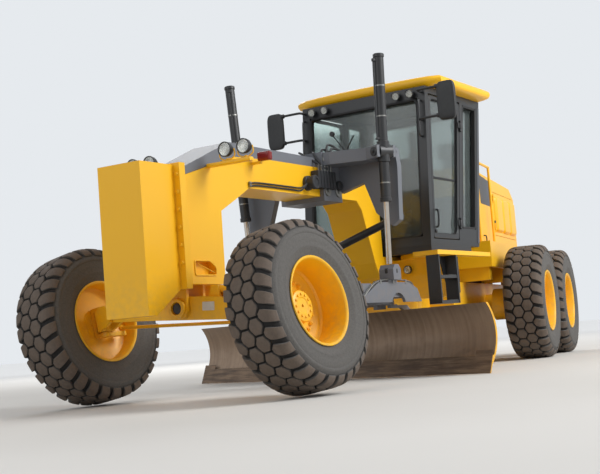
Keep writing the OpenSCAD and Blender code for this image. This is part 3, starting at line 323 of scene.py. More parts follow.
def join(*shapes):
    """Several shapes as one."""
    starts = np.cumsum([0] + [len(s[0]) for s in shapes])
    return (np.concatenate([s[0] for s in shapes]),
            np.concatenate([s[1] + n for s, n in zip(shapes, starts)]),
            np.concatenate([s[2] + n for s, n in zip(shapes, starts)]))


tyre_r, rim_r, rim_w = 0.665, 0.356, 0.43
pitches = 30
groove, chamfer = 0.024, 0.004
# A block's sides go down past the groove's bottom, into the carcass
root = groove + 0.006
# Half outline of the carcass in the grooves and down the sidewall, as y and radius
carcass_half = np.array([(0.0, 0.641), (0.06, 0.641), (0.12, 0.638), (0.165, 0.631), (0.192, 0.616),
                         (0.211, 0.594), (0.220, 0.570), (0.2275, 0.562), (0.2325, 0.548),
                         (0.2325, 0.535), (0.2285, 0.530), (0.233, 0.505), (0.231, 0.470),
                         (0.2265, 0.440), (0.229, 0.432), (0.224, 0.420), (0.214, 0.395),
                         (0.203, 0.372), (0.200, 0.358), (0.199, 0.346)])
# Half outline of the tread over the blocks, with the length along it from the middle
tread_half = np.array([(0.0, 0.665), (0.10, 0.665), (0.15, 0.6625), (0.185, 0.652), (0.208, 0.634),
                       (0.222, 0.604), (0.229, 0.578)])
tread_run = np.concatenate([[0], np.cumsum(np.hypot(*np.diff(tread_half, axis=0).T))])


def on_tread(along, across, depth):
    """A point of the tread: along is arc length round the wheel at its outer radius, across is
    arc length from the middle over the crown, depth is measured square to the crown."""
    v = np.abs(across)
    y, r = np.interp(v, tread_run, tread_half[:, 0]), np.interp(v, tread_run, tread_half[:, 1])
    tilt = np.interp(v, [0, 0.1, 0.17, 0.2, 0.24], np.radians([0, 1, 12, 38, 66]))
    y, r = (y - depth * np.sin(tilt)) * np.sign(across + 1e-12), r - depth * np.cos(tilt)
    a = along / tyre_r
    return np.stack([r * np.sin(a), y, r * np.cos(a)], -1)


def tread_blocks(v_rows, middle, half, flip):
    """All blocks of one row round the tyre. Each is a grid: v_rows across, and from
    middle - half to middle + half along, with a 4 mm chamfer and sides down into the groove."""
    v = np.array(v_rows)
    v = np.concatenate([[v[0]], v, [v[-1]]])
    middle, half = (np.concatenate([[k[0]], k, [k[-1]]]) for k in (middle, half))
    cols = np.array([-1, -1, -0.9, 0, 0.9, 1, 1])
    depth_row = np.zeros(len(v))
    depth_row[[1, -2]], depth_row[[0, -1]] = chamfer, root
    depth_col = np.array([root, chamfer, 0, 0, 0, chamfer, root])
    depth = np.maximum(depth_row[:, None], depth_col[None, :])
    step = 2 * np.pi * tyre_r / pitches
    turns = np.arange(pitches)[:, None, None] * step
    along = turns + middle[None, :, None] * step + half[None, :, None] * step * cols
    across = np.broadcast_to(v[None, :, None], along.shape) * flip
    points = on_tread(along, across, np.broadcast_to(depth, along.shape))
    rows, width = points.shape[1:3]
    flat = points.reshape(pitches, -1, 3)
    quads = sheet_quads(rows, width)
    # The ring round the grid's edge is closed underneath
    ids = np.arange(rows * width).reshape(rows, width)
    ring = np.concatenate([ids[0, :-1], ids[:-1, -1], ids[-1, :0:-1], ids[:0:-1, 0]])
    flat = np.concatenate([flat, flat[:, ring].mean(1, keepdims=True)], 1)
    tris = np.stack([np.roll(ring, -1), ring, np.full(len(ring), rows * width)], 1)
    quads, tris = outward(flat[0], quads, tris)[1:]
    return many(flat, quads, tris)


def tyre_shape():
    """The carcass turned about its axle, and the rows of blocks on it."""
    outline = np.concatenate([carcass_half, carcass_half[::-1][:-1] * [-1, 1]])
    parts = [revolve(outline, 120, loop=True)]
    # Each row's points across the tread, with a block's half length and shift in pitches there
    six_v = np.array([-0.058, -0.052, -0.030, 0.0, 0.030, 0.052, 0.058])
    six_half = np.interp(np.abs(six_v), [0, 0.030, 0.060], [0.435, 0.435, 0.05])
    far_v = np.array([0.104, 0.110, 0.130, 0.155, 0.180, 0.205, 0.230, 0.250, 0.262, 0.268])
    far_half = np.interp(far_v, [0.104, 0.132, 0.268], [0.10, 0.355, 0.335])
    far_mid = np.interp(far_v, [0.104, 0.132, 0.268], [0.0, 0.02, 0.30])
    for flip in (1, -1):
        start = 0.25 * flip
        parts.append(tread_blocks(six_v + 0.0535, np.full(7, start), six_half, flip))
        parts.append(tread_blocks(far_v, far_mid * flip + start + 0.5, far_half, flip))
    return join(*parts)


tread = tyre_shape()
tread_r = np.hypot(tread[0][:, 0], tread[0][:, 2])
rubber = finish("tyre_rubber", "#2a2725", 0.8)
tree, shader = rubber.node_tree, shader_of(rubber)
place = add(tree, "TexCoord").outputs["Object"]
depth = add(tree, "Attribute", attribute_name="height").outputs["Fac"]
# Earth sticks to the block tops in patches of about 40 mm and powders the sidewall
tops = two_tone(tree, place, "#4a403a", "#75675a", Scale=26.0, Detail=8.0, Roughness=0.7)[0]
wall, powder = two_tone(tree, place, "#393735", "#6d6a66", Scale=60.0, Detail=8.0, Roughness=0.75)
# Painted shade: the grooves, and the block sides down into them, go darker than the rubber itself
ramp = add(tree, "MapRange", {"Value": depth, "From Min": 0.0, "From Max": 0.5})
tone = add(tree, "Mix", {0: ramp.outputs[0], 6: linear("#1c1a19"), 7: wall}, data_type="RGBA")
ramp = add(tree, "MapRange", {"Value": depth, "From Min": 0.7, "From Max": 1.0})
tone = add(tree, "Mix", {0: ramp.outputs[0], 6: tone.outputs[2], 7: tops}, data_type="RGBA")
tree.links.new(tone.outputs[2], shader.inputs["Base Color"])
bump = add(tree, "Bump", {"Strength": 0.35, "Distance": 0.003, "Height": powder})
tree.links.new(bump.outputs[0], shader.inputs["Normal"])


# Rims
# Welded steel rims with a mounting disc, painted yellow as the machine. The front discs lie
# deep in the rim, the rear ones near its outer edge; wheel nuts hold them on the hubs.
barrel_r = rim_r - 0.0113


def rim_profile(disc_y, hub_in, hub_out):
    """Closed outline (y, radius) of rim, disc and hub, with rolled flanges and a dished disc."""
    w, r, inner, face = rim_w / 2, rim_r, barrel_r - 0.016, disc_y + 0.010
    lip = [(w - 0.012, r - 0.001), (w - 0.004, r), (w, r - 0.004), (w, r - 0.012),
           (w - 0.006, inner + 0.006), (w - 0.016, inner)]
    outer = [(-y, q) for y, q in lip[::-1]] + [(-w + 0.014, barrel_r), (w - 0.014, barrel_r)] + lip
    dish = 0.014 if disc_y < 0 else 0.008
    return ([(hub_in, 0.061), (hub_in, 0.126), (disc_y - 0.012, 0.13), (disc_y - 0.012, inner - 0.02),
             (disc_y - 0.022, inner)] + outer +
            [(disc_y + 0.03, inner), (disc_y + 0.012, inner - 0.016), (face, 0.285),
             (face - dish, 0.262), (face - dish, 0.160), (disc_y + 0.012, 0.142),
             (disc_y + 0.03, 0.130), (hub_out - 0.02, 0.128), (hub_out - 0.006, 0.122),
             (hub_out, 0.108), (hub_out, 0.070), (hub_out - 0.006, 0.062), (hub_out - 0.006, 0.012),
             (0.016, 0.012), (0.016, 0.061)])


def put(shape, place):
    """A shape moved by a 4 by 4 matrix; a mirroring one has its faces turned back."""
    points, quads, tris = shape
    if np.linalg.det(place[:3, :3]) < 0:
        quads, tris = quads[:, ::-1], tris[:, ::-1]
    return points @ place[:3, :3].T + place[:3, 3], quads, tris


def copies(shape, places):
    """A shape at several places, as one shape."""
    return join(*(put(shape, place) for place in places))


def piece(name, shape, material, body, crease=32):
    """One object at the origin, smooth except across edges sharper than crease degrees."""
    points, quads, tris = shape
    mesh = bpy.data.meshes.new(name)
    mesh.from_pydata(points.tolist(), [], quads.tolist() + tris.tolist())
    mesh.polygons.foreach_set("use_smooth", np.ones(len(mesh.polygons), bool))
    mesh.set_sharp_from_angle(angle=np.radians(crease))
    mesh.materials.append(material)
    made = bpy.data.objects.new(name, mesh)
    bpy.context.scene.collection.objects.link(made)
    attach(made, body)
    return made


def prism(sides, radius, height, bevel):
    """A bar with `sides` corners standing on the y axis, its far edge bevelled."""
    a = (np.arange(sides) + 0.5) * 2 * np.pi / sides
    rows = np.array([(0, radius), (height - bevel, radius), (height, radius - bevel)])
    rings = np.stack([rows[:, 1:] * np.sin(a), np.repeat(rows[:, :1], sides, 1),
                      rows[:, 1:] * np.cos(a)], -1)
    return shell(rings)


def ring_of(shape, count, radius, y):
    """count copies of a shape on a circle about the y axis."""
    return copies(shape, [turn(1, k * 360 / count) @ shift(0, y, radius) for k in range(count)])


lean_pin, king_pin, hub_face = (0.83, -0.06), (0.095, -0.015), 0.165


def front_wheel(s):
    """Middle of the front wheel on side s: out along the beam to the lean pin, then leaned, out
    to the king pin, steered, and out along the spindle. Each pin is y and z from the last."""
    knuckle = axle @ shift(0, s * lean_pin[0], lean_pin[1]) @ turn(0, knuckle_lean)
    spindle = knuckle @ shift(0, s * king_pin[0], king_pin[1]) @ turn(2, steer)
    return spindle @ shift(0, s * hub_face, 0)


wheel_nut = join(prism(16, 0.021, 0.005, 0.001), put(prism(6, 0.0165, 0.020, 0.003), shift(0, 0.004, 0)),
                 put(prism(10, 0.008, 0.014, 0.002), shift(0, 0.018, 0)))
hub_bolt = prism(6, 0.011, 0.010, 0.002)
nut_circle, hub_circle, wall_r = 0.212, 0.090, 0.575
half_pitch, rear_wheel_y = 0.77, 1.085
# Columns: node, place, side, y of the disc and of the hub's two ends, turn of the tread in degrees
wheels = [("front_left", front_wheel(1), 1, -0.055, -0.075, 0.045, 3),
          ("front_right", front_wheel(-1), -1, -0.055, -0.075, 0.045, 8)]
for s, side in sides:
    for n, x in ((1, tandem_x + half_pitch), (2, tandem_x - half_pitch)):
        wheels.append((f"rear_{side}_{n}", rear @ shift(x, s * rear_wheel_y, tyre_r), s,
                       0.060, -0.249, 0.110, 5 * n + 2 * s))
for name, stand, s, disc_y, hub_in, hub_out, spin in wheels:
    body = "wheel_" + name
    stand = stand @ flip(s)
    tyre = piece("tyre_" + name, put(tread, stand @ turn(1, spin)), rubber, body, 40)
    # Height over the groove: 1 on block tops, 0.5 on the sidewall, 0 in a groove
    crown = np.interp(np.abs(tread[0][:, 1]), tread_half[:, 0], tread_half[:, 1])
    deep = np.clip(1 - (crown - tread_r) / groove, 0, 1)
    height = np.where(tread_r < wall_r, 0.5, deep)
    marks = tyre.data.attributes.new("height", "FLOAT", "POINT")
    marks.data.foreach_set("value", height.astype(np.float32))
    rim = revolve(rim_profile(disc_y, hub_in, hub_out), 96, loop=True)
    nuts = ring_of(wheel_nut, 20, nut_circle, disc_y - 0.004)
    caps = ring_of(hub_bolt, 12, hub_circle, hub_out)
    rim = piece("rim_" + name, put(join(rim, nuts, caps), stand), yellow, body)
    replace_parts(tyre, body)
    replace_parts(rim, body)


# Lamps
# Drive lamps in pairs on arms beside the neck, turn lamps behind them and work lamps below the
# roof: pressed black bowls with bright dishes and clear lenses, bolted to steel arms.
def speckled(name, light_hex, dark_hex, patch_mm, roughness, metallic=0.0, bump_mm=0.0):
    """A finish whose colour drifts between two tones in patches patch_mm wide, with roughness
    that drifts with it by a tenth and bumps bump_mm deep of a quarter of that width."""
    made = finish(name, light_hex, roughness, metallic)
    tree, shader = made.node_tree, shader_of(made)
    place = add(tree, "TexCoord").outputs["Object"]
    tone, cloud = two_tone(tree, place, light_hex, dark_hex, Scale=1000 / patch_mm, Detail=5.0,
                           Roughness=0.6)
    tree.links.new(tone, shader.inputs["Base Color"])
    gloss = add(tree, "MapRange", {"Value": cloud, "To Min": max(roughness - 0.1, 0.02),
                                   "To Max": roughness + 0.1})
    tree.links.new(gloss.outputs[0], shader.inputs["Roughness"])
    if bump_mm:
        fine = add(tree, "TexNoise", {"Vector": place, "Scale": 4000 / patch_mm, "Detail": 3.0})
        bump = add(tree, "Bump", {"Strength": 0.5, "Distance": bump_mm / 1000,
                                  "Height": fine.outputs["Fac"]})
        tree.links.new(bump.outputs[0], shader.inputs["Normal"])
    return made


forward, left, upward = (1, 0, 0), (0, 1, 0), (0, 0, 1)


def facing(point, direction):
    """A placement at point whose y axis points along direction."""
    y = np.array(direction, float) / np.linalg.norm(direction)
    z = np.array([0, 0, 1.0]) if abs(y[2]) < 0.9 else np.array([1.0, 0, 0])
    x = np.cross(y, z)
    x /= np.linalg.norm(x)
    return posed(x, y, np.cross(x, y), point)


def rounded(corners, radius, steps=5):
    """An outline whose corners become arcs: point = (1-t)^2 a + 2t(1-t) corner + t^2 b, where a
    and b lie radius away from the corner on its two sides."""
    p = np.array(corners, float)
    back, on = np.roll(p, 1, 0) - p, np.roll(p, -1, 0) - p
    reach = np.linalg.norm(back, axis=1, keepdims=True), np.linalg.norm(on, axis=1, keepdims=True)
    cut = np.minimum(radius, np.minimum(*reach) / 2.05)
    a, b = p + back / reach[0] * cut, p + on / reach[1] * cut
    t = np.linspace(0, 1, steps)[None, :, None]
    arcs = (1 - t) ** 2 * a[:, None] + 2 * t * (1 - t) * p[:, None] + t ** 2 * b[:, None]
    return arcs.reshape(-1, 2)


def inset(outline, distance):
    """The outline moved inwards, each point along the mean of its two edges' normals."""
    p = np.array(outline, float)
    along = np.roll(p, -1, 0) - p
    turn_sign = np.sign(np.sum(p[:, 0] * np.roll(p[:, 1], -1) - np.roll(p[:, 0], -1) * p[:, 1]))
    normal = np.stack([along[:, 1], -along[:, 0]], 1) * turn_sign
    normal /= np.linalg.norm(normal, axis=1, keepdims=True)
    before = np.roll(normal, 1, 0)
    mitre = (normal + before) / (1 + np.sum(normal * before, 1, keepdims=True))
    return p - mitre * distance


def layered(layers, axis=1, loop=False):
    """A surface through layers, each an outline, its place along an axis and how far it is inset."""
    rings = [np.insert(inset(outline, b), axis, d, axis=1) for outline, d, b in layers]
    return shell(np.stack(rings), loop)


def slab(outline, low, high, bevel=0.004, axis=1):
    """A plate of that outline from low to high along an axis, its edges bevelled."""
    return layered([(outline, low, bevel), (outline, low + bevel, 0), (outline, high - bevel, 0),
                    (outline, high, bevel)], axis)


def rectangle(a, b, c, d):
    """Corners of the rectangle from (a, c) to (b, d)."""
    return [(a, c), (b, c), (b, d), (a, d)]


def plate(wide, tall, deep, corner, bevel=0.004, axis=1, steps=5):
    """A rectangular plate with rounded corners: wide and tall are its spans in its own plane,
    deep its span along the axis."""
    return slab(rounded(rectangle(*wide, *tall), corner, steps), *deep, bevel, axis)


def through(points, steps=8):
    """A smooth path through points: each stretch is the cubic that leaves and reaches its ends
    along the line between their neighbours."""
    p = np.array(points, float)
    p = np.concatenate([2 * p[:1] - p[1:2], p, 2 * p[-1:] - p[-2:-1]])
    t = np.linspace(0, 1, steps, endpoint=False)[None, :, None]
    a, b, c, d = (p[i:len(p) - 3 + i, None] for i in range(4))
    path = b + (c - a) / 2 * t + (a - 2.5 * b + 2 * c - d / 2) * t ** 2
    path = path + (-a + 3 * b - 3 * c + d) / 2 * t ** 3
    return np.concatenate([path.reshape(-1, 3), p[-2:-1]])


def tube(path, radius, sides=10):
    """A round bar along a path. Its rings stand square to the path, turned about it by the
    direction in which the path is thinnest."""
    path = np.array(path, float)
    along = np.gradient(path, axis=0)
    along /= np.linalg.norm(along, axis=1, keepdims=True)
    thin = np.linalg.svd(path - path.mean(0))[2][2]
    u = np.cross(along, thin)
    u /= np.linalg.norm(u, axis=1, keepdims=True)
    v = np.cross(along, u)
    a = np.linspace(0, 2 * np.pi, sides, endpoint=False)[None, :, None]
    radius = np.broadcast_to(radius, len(path))[:, None, None]
    return shell(path[:, None] + radius * (u[:, None] * np.cos(a) + v[:, None] * np.sin(a)))


chrome = speckled("bright_reflector", "#d9d9d6", "#b9b9b6", 20, 0.12, 1.0)
plastic = speckled("moulded_black_plastic", "#232426", "#191a1b", 30, 0.5, 0.0, 0.15)
lens = speckled("clear_polycarbonate", "#f2f3f0", "#e2e4e0", 40, 0.12)
shader_of(lens).inputs["Transmission Weight"].default_value = 0.85
shader_of(lens).inputs["IOR"].default_value = 1.58
red_lens = speckled("red_acrylic", "#9c1a12", "#7c120c", 14, 0.2)
shader_of(red_lens).inputs["Transmission Weight"].default_value = 0.25
lamp_x, lamp_ys, lamp_z = 2.93, (0.400, 0.585), 2.03
# The neck's side face is at 200 mm, and what lies on it stands off by 0.3 mm
neck_side = 0.2003


def lamp(radius, deep):
    """Bowl, dish and lens of a round lamp that faces along y, its rim at deep."""
    r, d = radius, deep
    bowl = revolve([(-d, 0.35 * r), (-0.8 * d, 0.7 * r), (0, 0.94 * r), (0.7 * d, r), (d, 0.98 * r),
                    (d, 0.88 * r), (0.75 * d, 0.85 * r)], 28)
    dish = revolve([(0.76 * d, 0.86 * r), (0.77 * d, 0.84 * r), (0.3 * d, 0.6 * r),
                    (-0.1 * d, 0.25 * r)], 28)
    glass = revolve([(0.78 * d, 0.86 * r), (0.9 * d, 0.86 * r), (0.97 * d, 0.6 * r),
                     (0.99 * d, 0.25 * r)], 28)
    return bowl, dish, glass


places = [front @ facing((lamp_x, s * y, lamp_z), forward) for s in (1, -1) for y in lamp_ys]
bowl, dish, glass = (copies(shape, places) for shape in lamp(0.064, 0.040))
arms = [plate((2.900, 2.960), (1.906, 1.938), (neck_side, 0.640), 0.010, 0.004),
        plate((2.262, 2.300), (1.985, 2.008), (neck_side, 0.300), 0.006, 0.003)]
# A fork under each lamp: reach to the side and drop below the lamp's middle
fork = [(-0.071, 0), (-0.071, 0.06), (0, 0.088), (0.071, 0.06), (0.071, 0)]
for y in lamp_ys:
    bent = through([(lamp_x, y + reach, lamp_z - drop) for reach, drop in fork], 5)
    arms.append(tube(bent, 0.006, 6))
    arms.append(put(prism(10, 0.014, 0.022, 0.003), facing((lamp_x, y, 1.934), upward)))
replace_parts(piece("lamp_bowls", bowl, plastic, "front_frame"), "front_lamps")
piece("lamp_dishes", dish, chrome, "front_frame")
piece("lamp_lenses", glass, lens, "front_frame")
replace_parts(piece("lamp_arms", copies(join(*arms), front_sides), yellow, "front_frame"),
            "front_lamps")
turn_box = plate((2.250, 2.310), (2.005, 2.085), (0.270, 0.400), 0.018, 0.010)
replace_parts(piece("turn_lamps", copies(turn_box, front_sides), red_lens, "front_frame"),
            "front_lamps")

# Work lamps on the header above the windscreen, and the round lamp ahead of the side box
work_ys = (-0.60, -0.44, 0.44, 0.60)
box_y, box_z = 0.37, 1.066
places = [front @ facing((-0.135, y, 2.885), (1, 0, -0.25)) for y in work_ys]
places.append(front @ facing((-0.215, box_y, box_z), forward))
bowl, dish, glass = (copies(shape, places) for shape in lamp(0.044, 0.030))
stalks = join(*(tube([(-0.175, y, 2.875), (-0.15, y, 2.882)], 0.012, 8) for y in work_ys),
              tube([(-0.245, box_y, box_z), (-0.235, box_y, box_z)], 0.03, 12))
piece("work_lamp_bowls", join(bowl, put(stalks, front)), plastic, "front_frame")
piece("work_lamp_dishes", dish, chrome, "front_frame")
piece("work_lamp_lenses", glass, lens, "front_frame")


# Flange bolts, pins and blank plates
# The push block is bolted through its flange, two rows of six bolts with nuts behind. Bolt
# heads in the yellow enamel, round caps on the pins, and bare white data plates on the axle.
def bolts(points, direction, radius=0.014, height=0.011):
    """Hexagon heads on their washers at points, all facing one way."""
    one = join(prism(12, radius * 1.35, 0.003, 0.0008), prism(6, radius, height, radius * 0.18))
    return copies(one, [facing(p, direction) for p in points])


flange_y, flange_front, flange_back = 0.241, 3.415, 3.3403
rows = [(y, z) for y in (flange_y, -flange_y) for z in np.linspace(1.106, 1.811, 6)]
flange_set = join(bolts([(flange_front, y, z) for y, z in rows], forward, 0.017, 0.014),
                  bolts([(flange_back, y, z) for y, z in rows], (-1, 0, 0), 0.017, 0.020))
piece("flange_bolts", put(flange_set, front), yellow, "front_frame")
bore = revolve([(0, 0.082), (0.022, 0.082), (0.026, 0.078), (0.026, 0.052), (0.004, 0.050),
                (0.004, 0.045), (0, 0.045)], 40, loop=True)
cap = revolve([(0.002, 0.046), (0.010, 0.046), (0.012, 0.040), (0.012, 0.012)], 32)
pin_front = 3.208
pin_end = front @ facing((pin_front, 0, beam_z), forward)
piece("axle_pin_ring", put(bore, pin_end), yellow, "front_frame")
piece("axle_pin_cap", put(cap, pin_end), black, "front_frame")
bare = speckled("white_enamelled_plate", "#dedcd4", "#c9c6bc", 25, 0.4)
plates = join(put(plate((0.22, 0.34), (-0.02, 0.05), (0.09, 0.093), 0.006, 0.001, axis=0), axle),
              put(plate((-0.06, 0.06), (-0.03, 0.03), (-0.0945, -0.0915), 0.006, 0.001, axis=0), axle))
piece("axle_plates", plates, bare, "axle_beam")
# The hood's side is at 560 mm, and what lies on it stands off by 0.2 mm
hood_side = 0.5602
label = plate((-3.02, -2.90), (1.70, 1.76), (hood_side, hood_side + 0.002), 0.006, 0.0006)
piece("hood_label", put(label, rear), bare, "rear_frame")


# Valve bank and hoses on the neck
# Cast valve bank between two round swivel couplings on the neck's left side. Steel-braided
# rubber hoses with plated ends run from it over the saddle and down to the frame.
zinc = speckled("zinc_plated_steel", "#9a9a96", "#74736f", 12, 0.38, 1.0)
hose = speckled("hose_rubber", "#1c1c1d", "#29282a", 8, 0.55, 0.0, 0.4)
iron = speckled("sand_cast_iron", "#3a3c40", "#2a2b2e", 25, 0.6, 0.3, 0.6)
bank = [plate((0.98, 1.30), (1.86, 1.99), (0.200, 0.275), 0.012, 0.008)]
section_step = 0.055
for x in np.arange(1.00, 1.29, section_step):
    bank.append(plate((x, x + 0.042), (1.84, 2.01), (0.204, 0.292), 0.008, 0.006))
coupling = revolve([(0, 0.070), (0.030, 0.070), (0.034, 0.058), (0.070, 0.058), (0.074, 0.066),
                    (0.108, 0.066), (0.114, 0.060), (0.114, 0.040), (0.106, 0.036), (0.106, 0.012)], 32)
small = np.diag([0.7, 0.8, 0.7, 1.0])
bank.append(put(coupling, facing((1.40, 0.200, 1.885), left)))
bank.append(put(coupling, facing((0.92, 0.200, 1.885), left) @ small))
piece("valve_bank", put(join(*bank), front), iron, "front_frame")
# Columns: start, high point and end of each hose
hose_runs = [((1.02, 0.25, 2.00), (0.96, 0.25, 2.25), (0.72, 0.30, 2.06)),
             ((1.08, 0.25, 2.00), (0.98, 0.22, 2.29), (0.70, 0.26, 2.06)),
             ((1.13, 0.25, 2.00), (1.06, 0.20, 2.24), (0.70, 0.15, 2.06)),
             ((1.19, 0.25, 2.00), (1.14, 0.14, 2.21), (0.70, -0.10, 2.06)),
             ((1.24, 0.25, 2.00), (1.20, 0.02, 2.22), (0.66, -0.16, 2.06))]
runs, ends = [], []
for a, b, c in hose_runs:
    a, b, c = np.array(a), np.array(b), np.array(c)
    back_down = (b + c) / 2 + [-0.04, 0, 0.06]
    path = through([a, a + [0, 0, 0.07], (a + b) / 2 + [0.02, 0, 0.04], b, back_down, c], 7)
    runs.append(tube(path, 0.011, 8))
    for end in (a, c):
        ends.append(put(prism(6, 0.015, 0.03, 0.002), facing(end - [0, 0, 0.012], upward)))
        ends.append(put(prism(10, 0.0125, 0.07, 0.002), facing(end, upward)))
# Lines along the underside of the neck from the bank to the head
line_y = 0.212
for z in (1.83, 1.805):
    line_end = (2.34, line_y, z - 0.01)
    runs.append(tube(through([(1.47, 0.25, 1.87), (1.55, 0.225, z), (1.7, line_y, z),
                              (2.2, line_y, z), line_end], 6), 0.008, 8))
    ends.append(put(prism(6, 0.013, 0.03, 0.002), facing(line_end, forward)))
piece("neck_hoses", put(join(*runs), front), hose, "front_frame")
piece("hose_ends", put(join(*ends), front), zinc, "front_frame")


# Lift cylinders
# Honed steel tubes in black enamel on their trunnions, with a screwed gland at the lower end,
# a welded top with its port, and a steel oil line down the side. Hard-chromed rods.
trunnion = np.array([0.9997, 0.8279, 2.130])
lift_skew, lift_tilt = 25.396, 2.868


def lift(s):
    """The lift cylinder's trunnion on side s, with z up along the barrel."""
    return front @ flip(s) @ shift(*trunnion) @ turn(2, -lift_skew) @ turn(0, -lift_tilt)


def screw_cap(radius, thick, bevel, head_r, head):
    """A round cap with the hexagon head of its screw in the middle."""
    return join(prism(24, radius, thick, bevel), prism(6, head_r, head, 0.003))


def band(y, height, inner, outer):
    """A flat hoop about the y axis."""
    top = y + height
    return revolve([(y, inner), (y, outer), (top, outer), (top, inner)], 32, loop=True)


up = facing((0, 0, 0), upward)
gland = revolve([(-0.474, 0.030), (-0.474, 0.046), (-0.470, 0.056), (-0.436, 0.056),
                 (-0.430, 0.049)], 32)
collar = revolve([(-0.10, 0.049), (-0.095, 0.060), (0.095, 0.060), (0.10, 0.049)], 32)
head = revolve([(0.895, 0.049), (0.900, 0.054), (0.925, 0.054), (0.932, 0.046), (0.934, 0.020)], 32)
rings = join(gland, collar, head)
line_x = 0.066
line = [tube(through([(0.047, 0, 0.87), (0.064, 0, 0.855), (line_x, 0, 0.80), (line_x, 0, 0.2),
                      (line_x, 0, 0.13)], 5), 0.007, 8)]
for ends in ((0.855, 0.885), (0.110, 0.135)):
    line.append(plate((0.040, 0.074), (-0.016, 0.016), ends, 0.004, 0.003, axis=2))
straps = join(*(band(z, 0.012, 0.0485, 0.0505) for z in (0.33, 0.62, -0.3)))
for s, side in sides:
    body = "lift_barrel_" + side
    piece("lift_collars_" + side, put(join(put(rings, up), *line), lift(s)), black, body)
    piece("lift_bands_" + side, put(straps, lift(s) @ up), zinc, body)
caps = copies(screw_cap(0.046, 0.012, 0.003, 0.018, 0.024),
              [facing((d * 0.110, 0, 0), (d, 0, 0)) for d in (1, -1)])
piece("trunnion_caps", copies(caps, [lift(1), lift(-1)]), black, "front_frame")
rod = speckled("hard_chrome", "#c9c2b8", "#a89c8e", 60, 0.2, 1.0)
dress(rod, "lift_rod_left", "lift_rod_right", "shift_rod", "lean_rod")


# Cab doors and windows
# Pressed steel door frames in black, each with a bonded sheet of grey-green tinted safety
# glass, a rubber seal, a moulded pull handle and two hinges whose leaves reach the post.
tinted = speckled("tinted_safety_glass", "#b9c4c2", "#adb9b7", 400, 0.05)
shader_of(tinted).inputs["Transmission Weight"].default_value = 0.88
shader_of(tinted).inputs["IOR"].default_value = 1.45
seal = speckled("epdm_seal", "#161617", "#202022", 10, 0.7, 0.0, 0.2)
cab_low, cab_front, front_slope, rear_slope = 1.290, -0.020, -0.09639, -0.2
screen_lean = -5.506


def window(outer, inner, low, high, bevel=0.003, axis=1):
    """A plate with a hole: its outer and inner outlines have as many points as each other."""
    return layered([(outer, low, bevel), (outer, low + bevel, 0), (outer, high - bevel, 0),
                    (outer, high, bevel), (inner, high, -bevel), (inner, high - bevel, 0),
                    (inner, low + bevel, 0), (inner, low, -bevel)], axis, loop=True)


def opening(front_in, rear_in, low, high, grow=0.0, slopes=(front_slope, rear_slope)):
    """Corners in x and z of a four-sided opening whose two upright edges lean back: x = the
    cab's front - the edge's distance behind it + slope (z - floor)."""
    low, high = low - grow, high + grow
    a, b = cab_front - front_in + grow, cab_front - rear_in - grow
    return [(a + slopes[0] * (low - cab_low), low), (a + slopes[0] * (high - cab_low), high),
            (b + slopes[1] * (high - cab_low), high), (b + slopes[1] * (low - cab_low), low)]


door_edge = rounded(opening(0.075, 0.690, 1.350, 2.872, -0.006), 0.040, 7)
pane_edge = rounded(opening(0.125, 0.640, 1.410, 2.830), 0.070, 7)
door_in, door_out = 0.714, 0.750
frame_ring = window(door_edge, pane_edge, door_in, door_out, 0.005)
gasket = window(inset(pane_edge, -0.006), inset(pane_edge, 0.010), 0.7135, 0.7210, 0.002)
pane = slab(inset(pane_edge, -0.012), 0.7077, 0.7133, 0.0012)
rail_edge = rounded(rectangle(-0.80, -0.165, 1.985, 2.010), 0.006, 7)
handle = tube(through([(-0.165, 0.752, 1.47), (-0.168, 0.778, 1.48), (-0.178, 0.784, 1.56),
                       (-0.188, 0.778, 1.64), (-0.190, 0.752, 1.65)], 6), 0.010, 10)
lock = put(prism(20, 0.020, 0.012, 0.003), facing((-0.160, 0.750, 1.43), left))
hinge_line = shift(-0.719, 0.764, 1.350) @ turn(1, -11.31)
leaf = join(plate((0.0, 0.045), (0.001, 0.069), (-0.0155, -0.002), 0.010, 0.003),
            put(revolve([(0, 0.0072), (0, 0.011), (0.002, 0.012), (0.068, 0.012), (0.070, 0.011),
                         (0.070, 0.0072)], 24, loop=True), up))
leaves = [put(leaf, hinge_line @ shift(0, 0, z)) for z in (0.150, 1.250)]
for s, side in sides:
    node, place = "cab_door_" + side, front @ flip(s)
    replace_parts(piece(node + "_frame", put(join(frame_ring, *leaves), place), black, node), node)
    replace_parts(piece(node + "_pane", put(pane, place), tinted, node), node)
    piece(node + "_seal", put(join(gasket, slab(rail_edge, 0.7136, 0.7180, 0.001)), place), seal,
          node)
    piece(node + "_handle", put(join(handle, lock), place), plastic, node)
dress(tinted, "cab_glass")
# The seals of the fixed panes stand in their openings, and the wiper on the windscreen's right
quarter_edge = rounded(opening(0.760, 1.120, 1.480, 2.860, 0.0, (rear_slope, rear_slope)), 0.05, 7)
seals = [copies(window(quarter_edge, inset(quarter_edge, 0.022), 0.7000, 0.7512, 0.003),
                [flip(1), flip(-1)])]
lean_back = shift(cab_front, 0, cab_low) @ turn(1, screen_lean)
screen_edge = rounded(rectangle(-0.660, 0.660, 0.0905, 1.5470), 0.06, 7)
screen_seal = window(screen_edge, inset(screen_edge, 0.020), -0.0605, 0.0015, 0.003, axis=0)
seals.append(put(screen_seal, lean_back))
piece("window_seals", put(join(*seals), front), seal, "front_frame")
wiper = [tube([(0.012, -0.371, 1.325), (0.022, -0.371, 1.322), (0.022, -0.20, 1.10)], 0.006, 6),
         tube([(0.020, -0.30, 0.93), (0.020, -0.10, 1.27)], 0.008, 6),
         put(prism(16, 0.028, 0.030, 0.005), facing((0.0, -0.371, 1.325), forward))]
piece("wiper", put(join(*wiper), front @ lean_back), plastic, "front_frame")
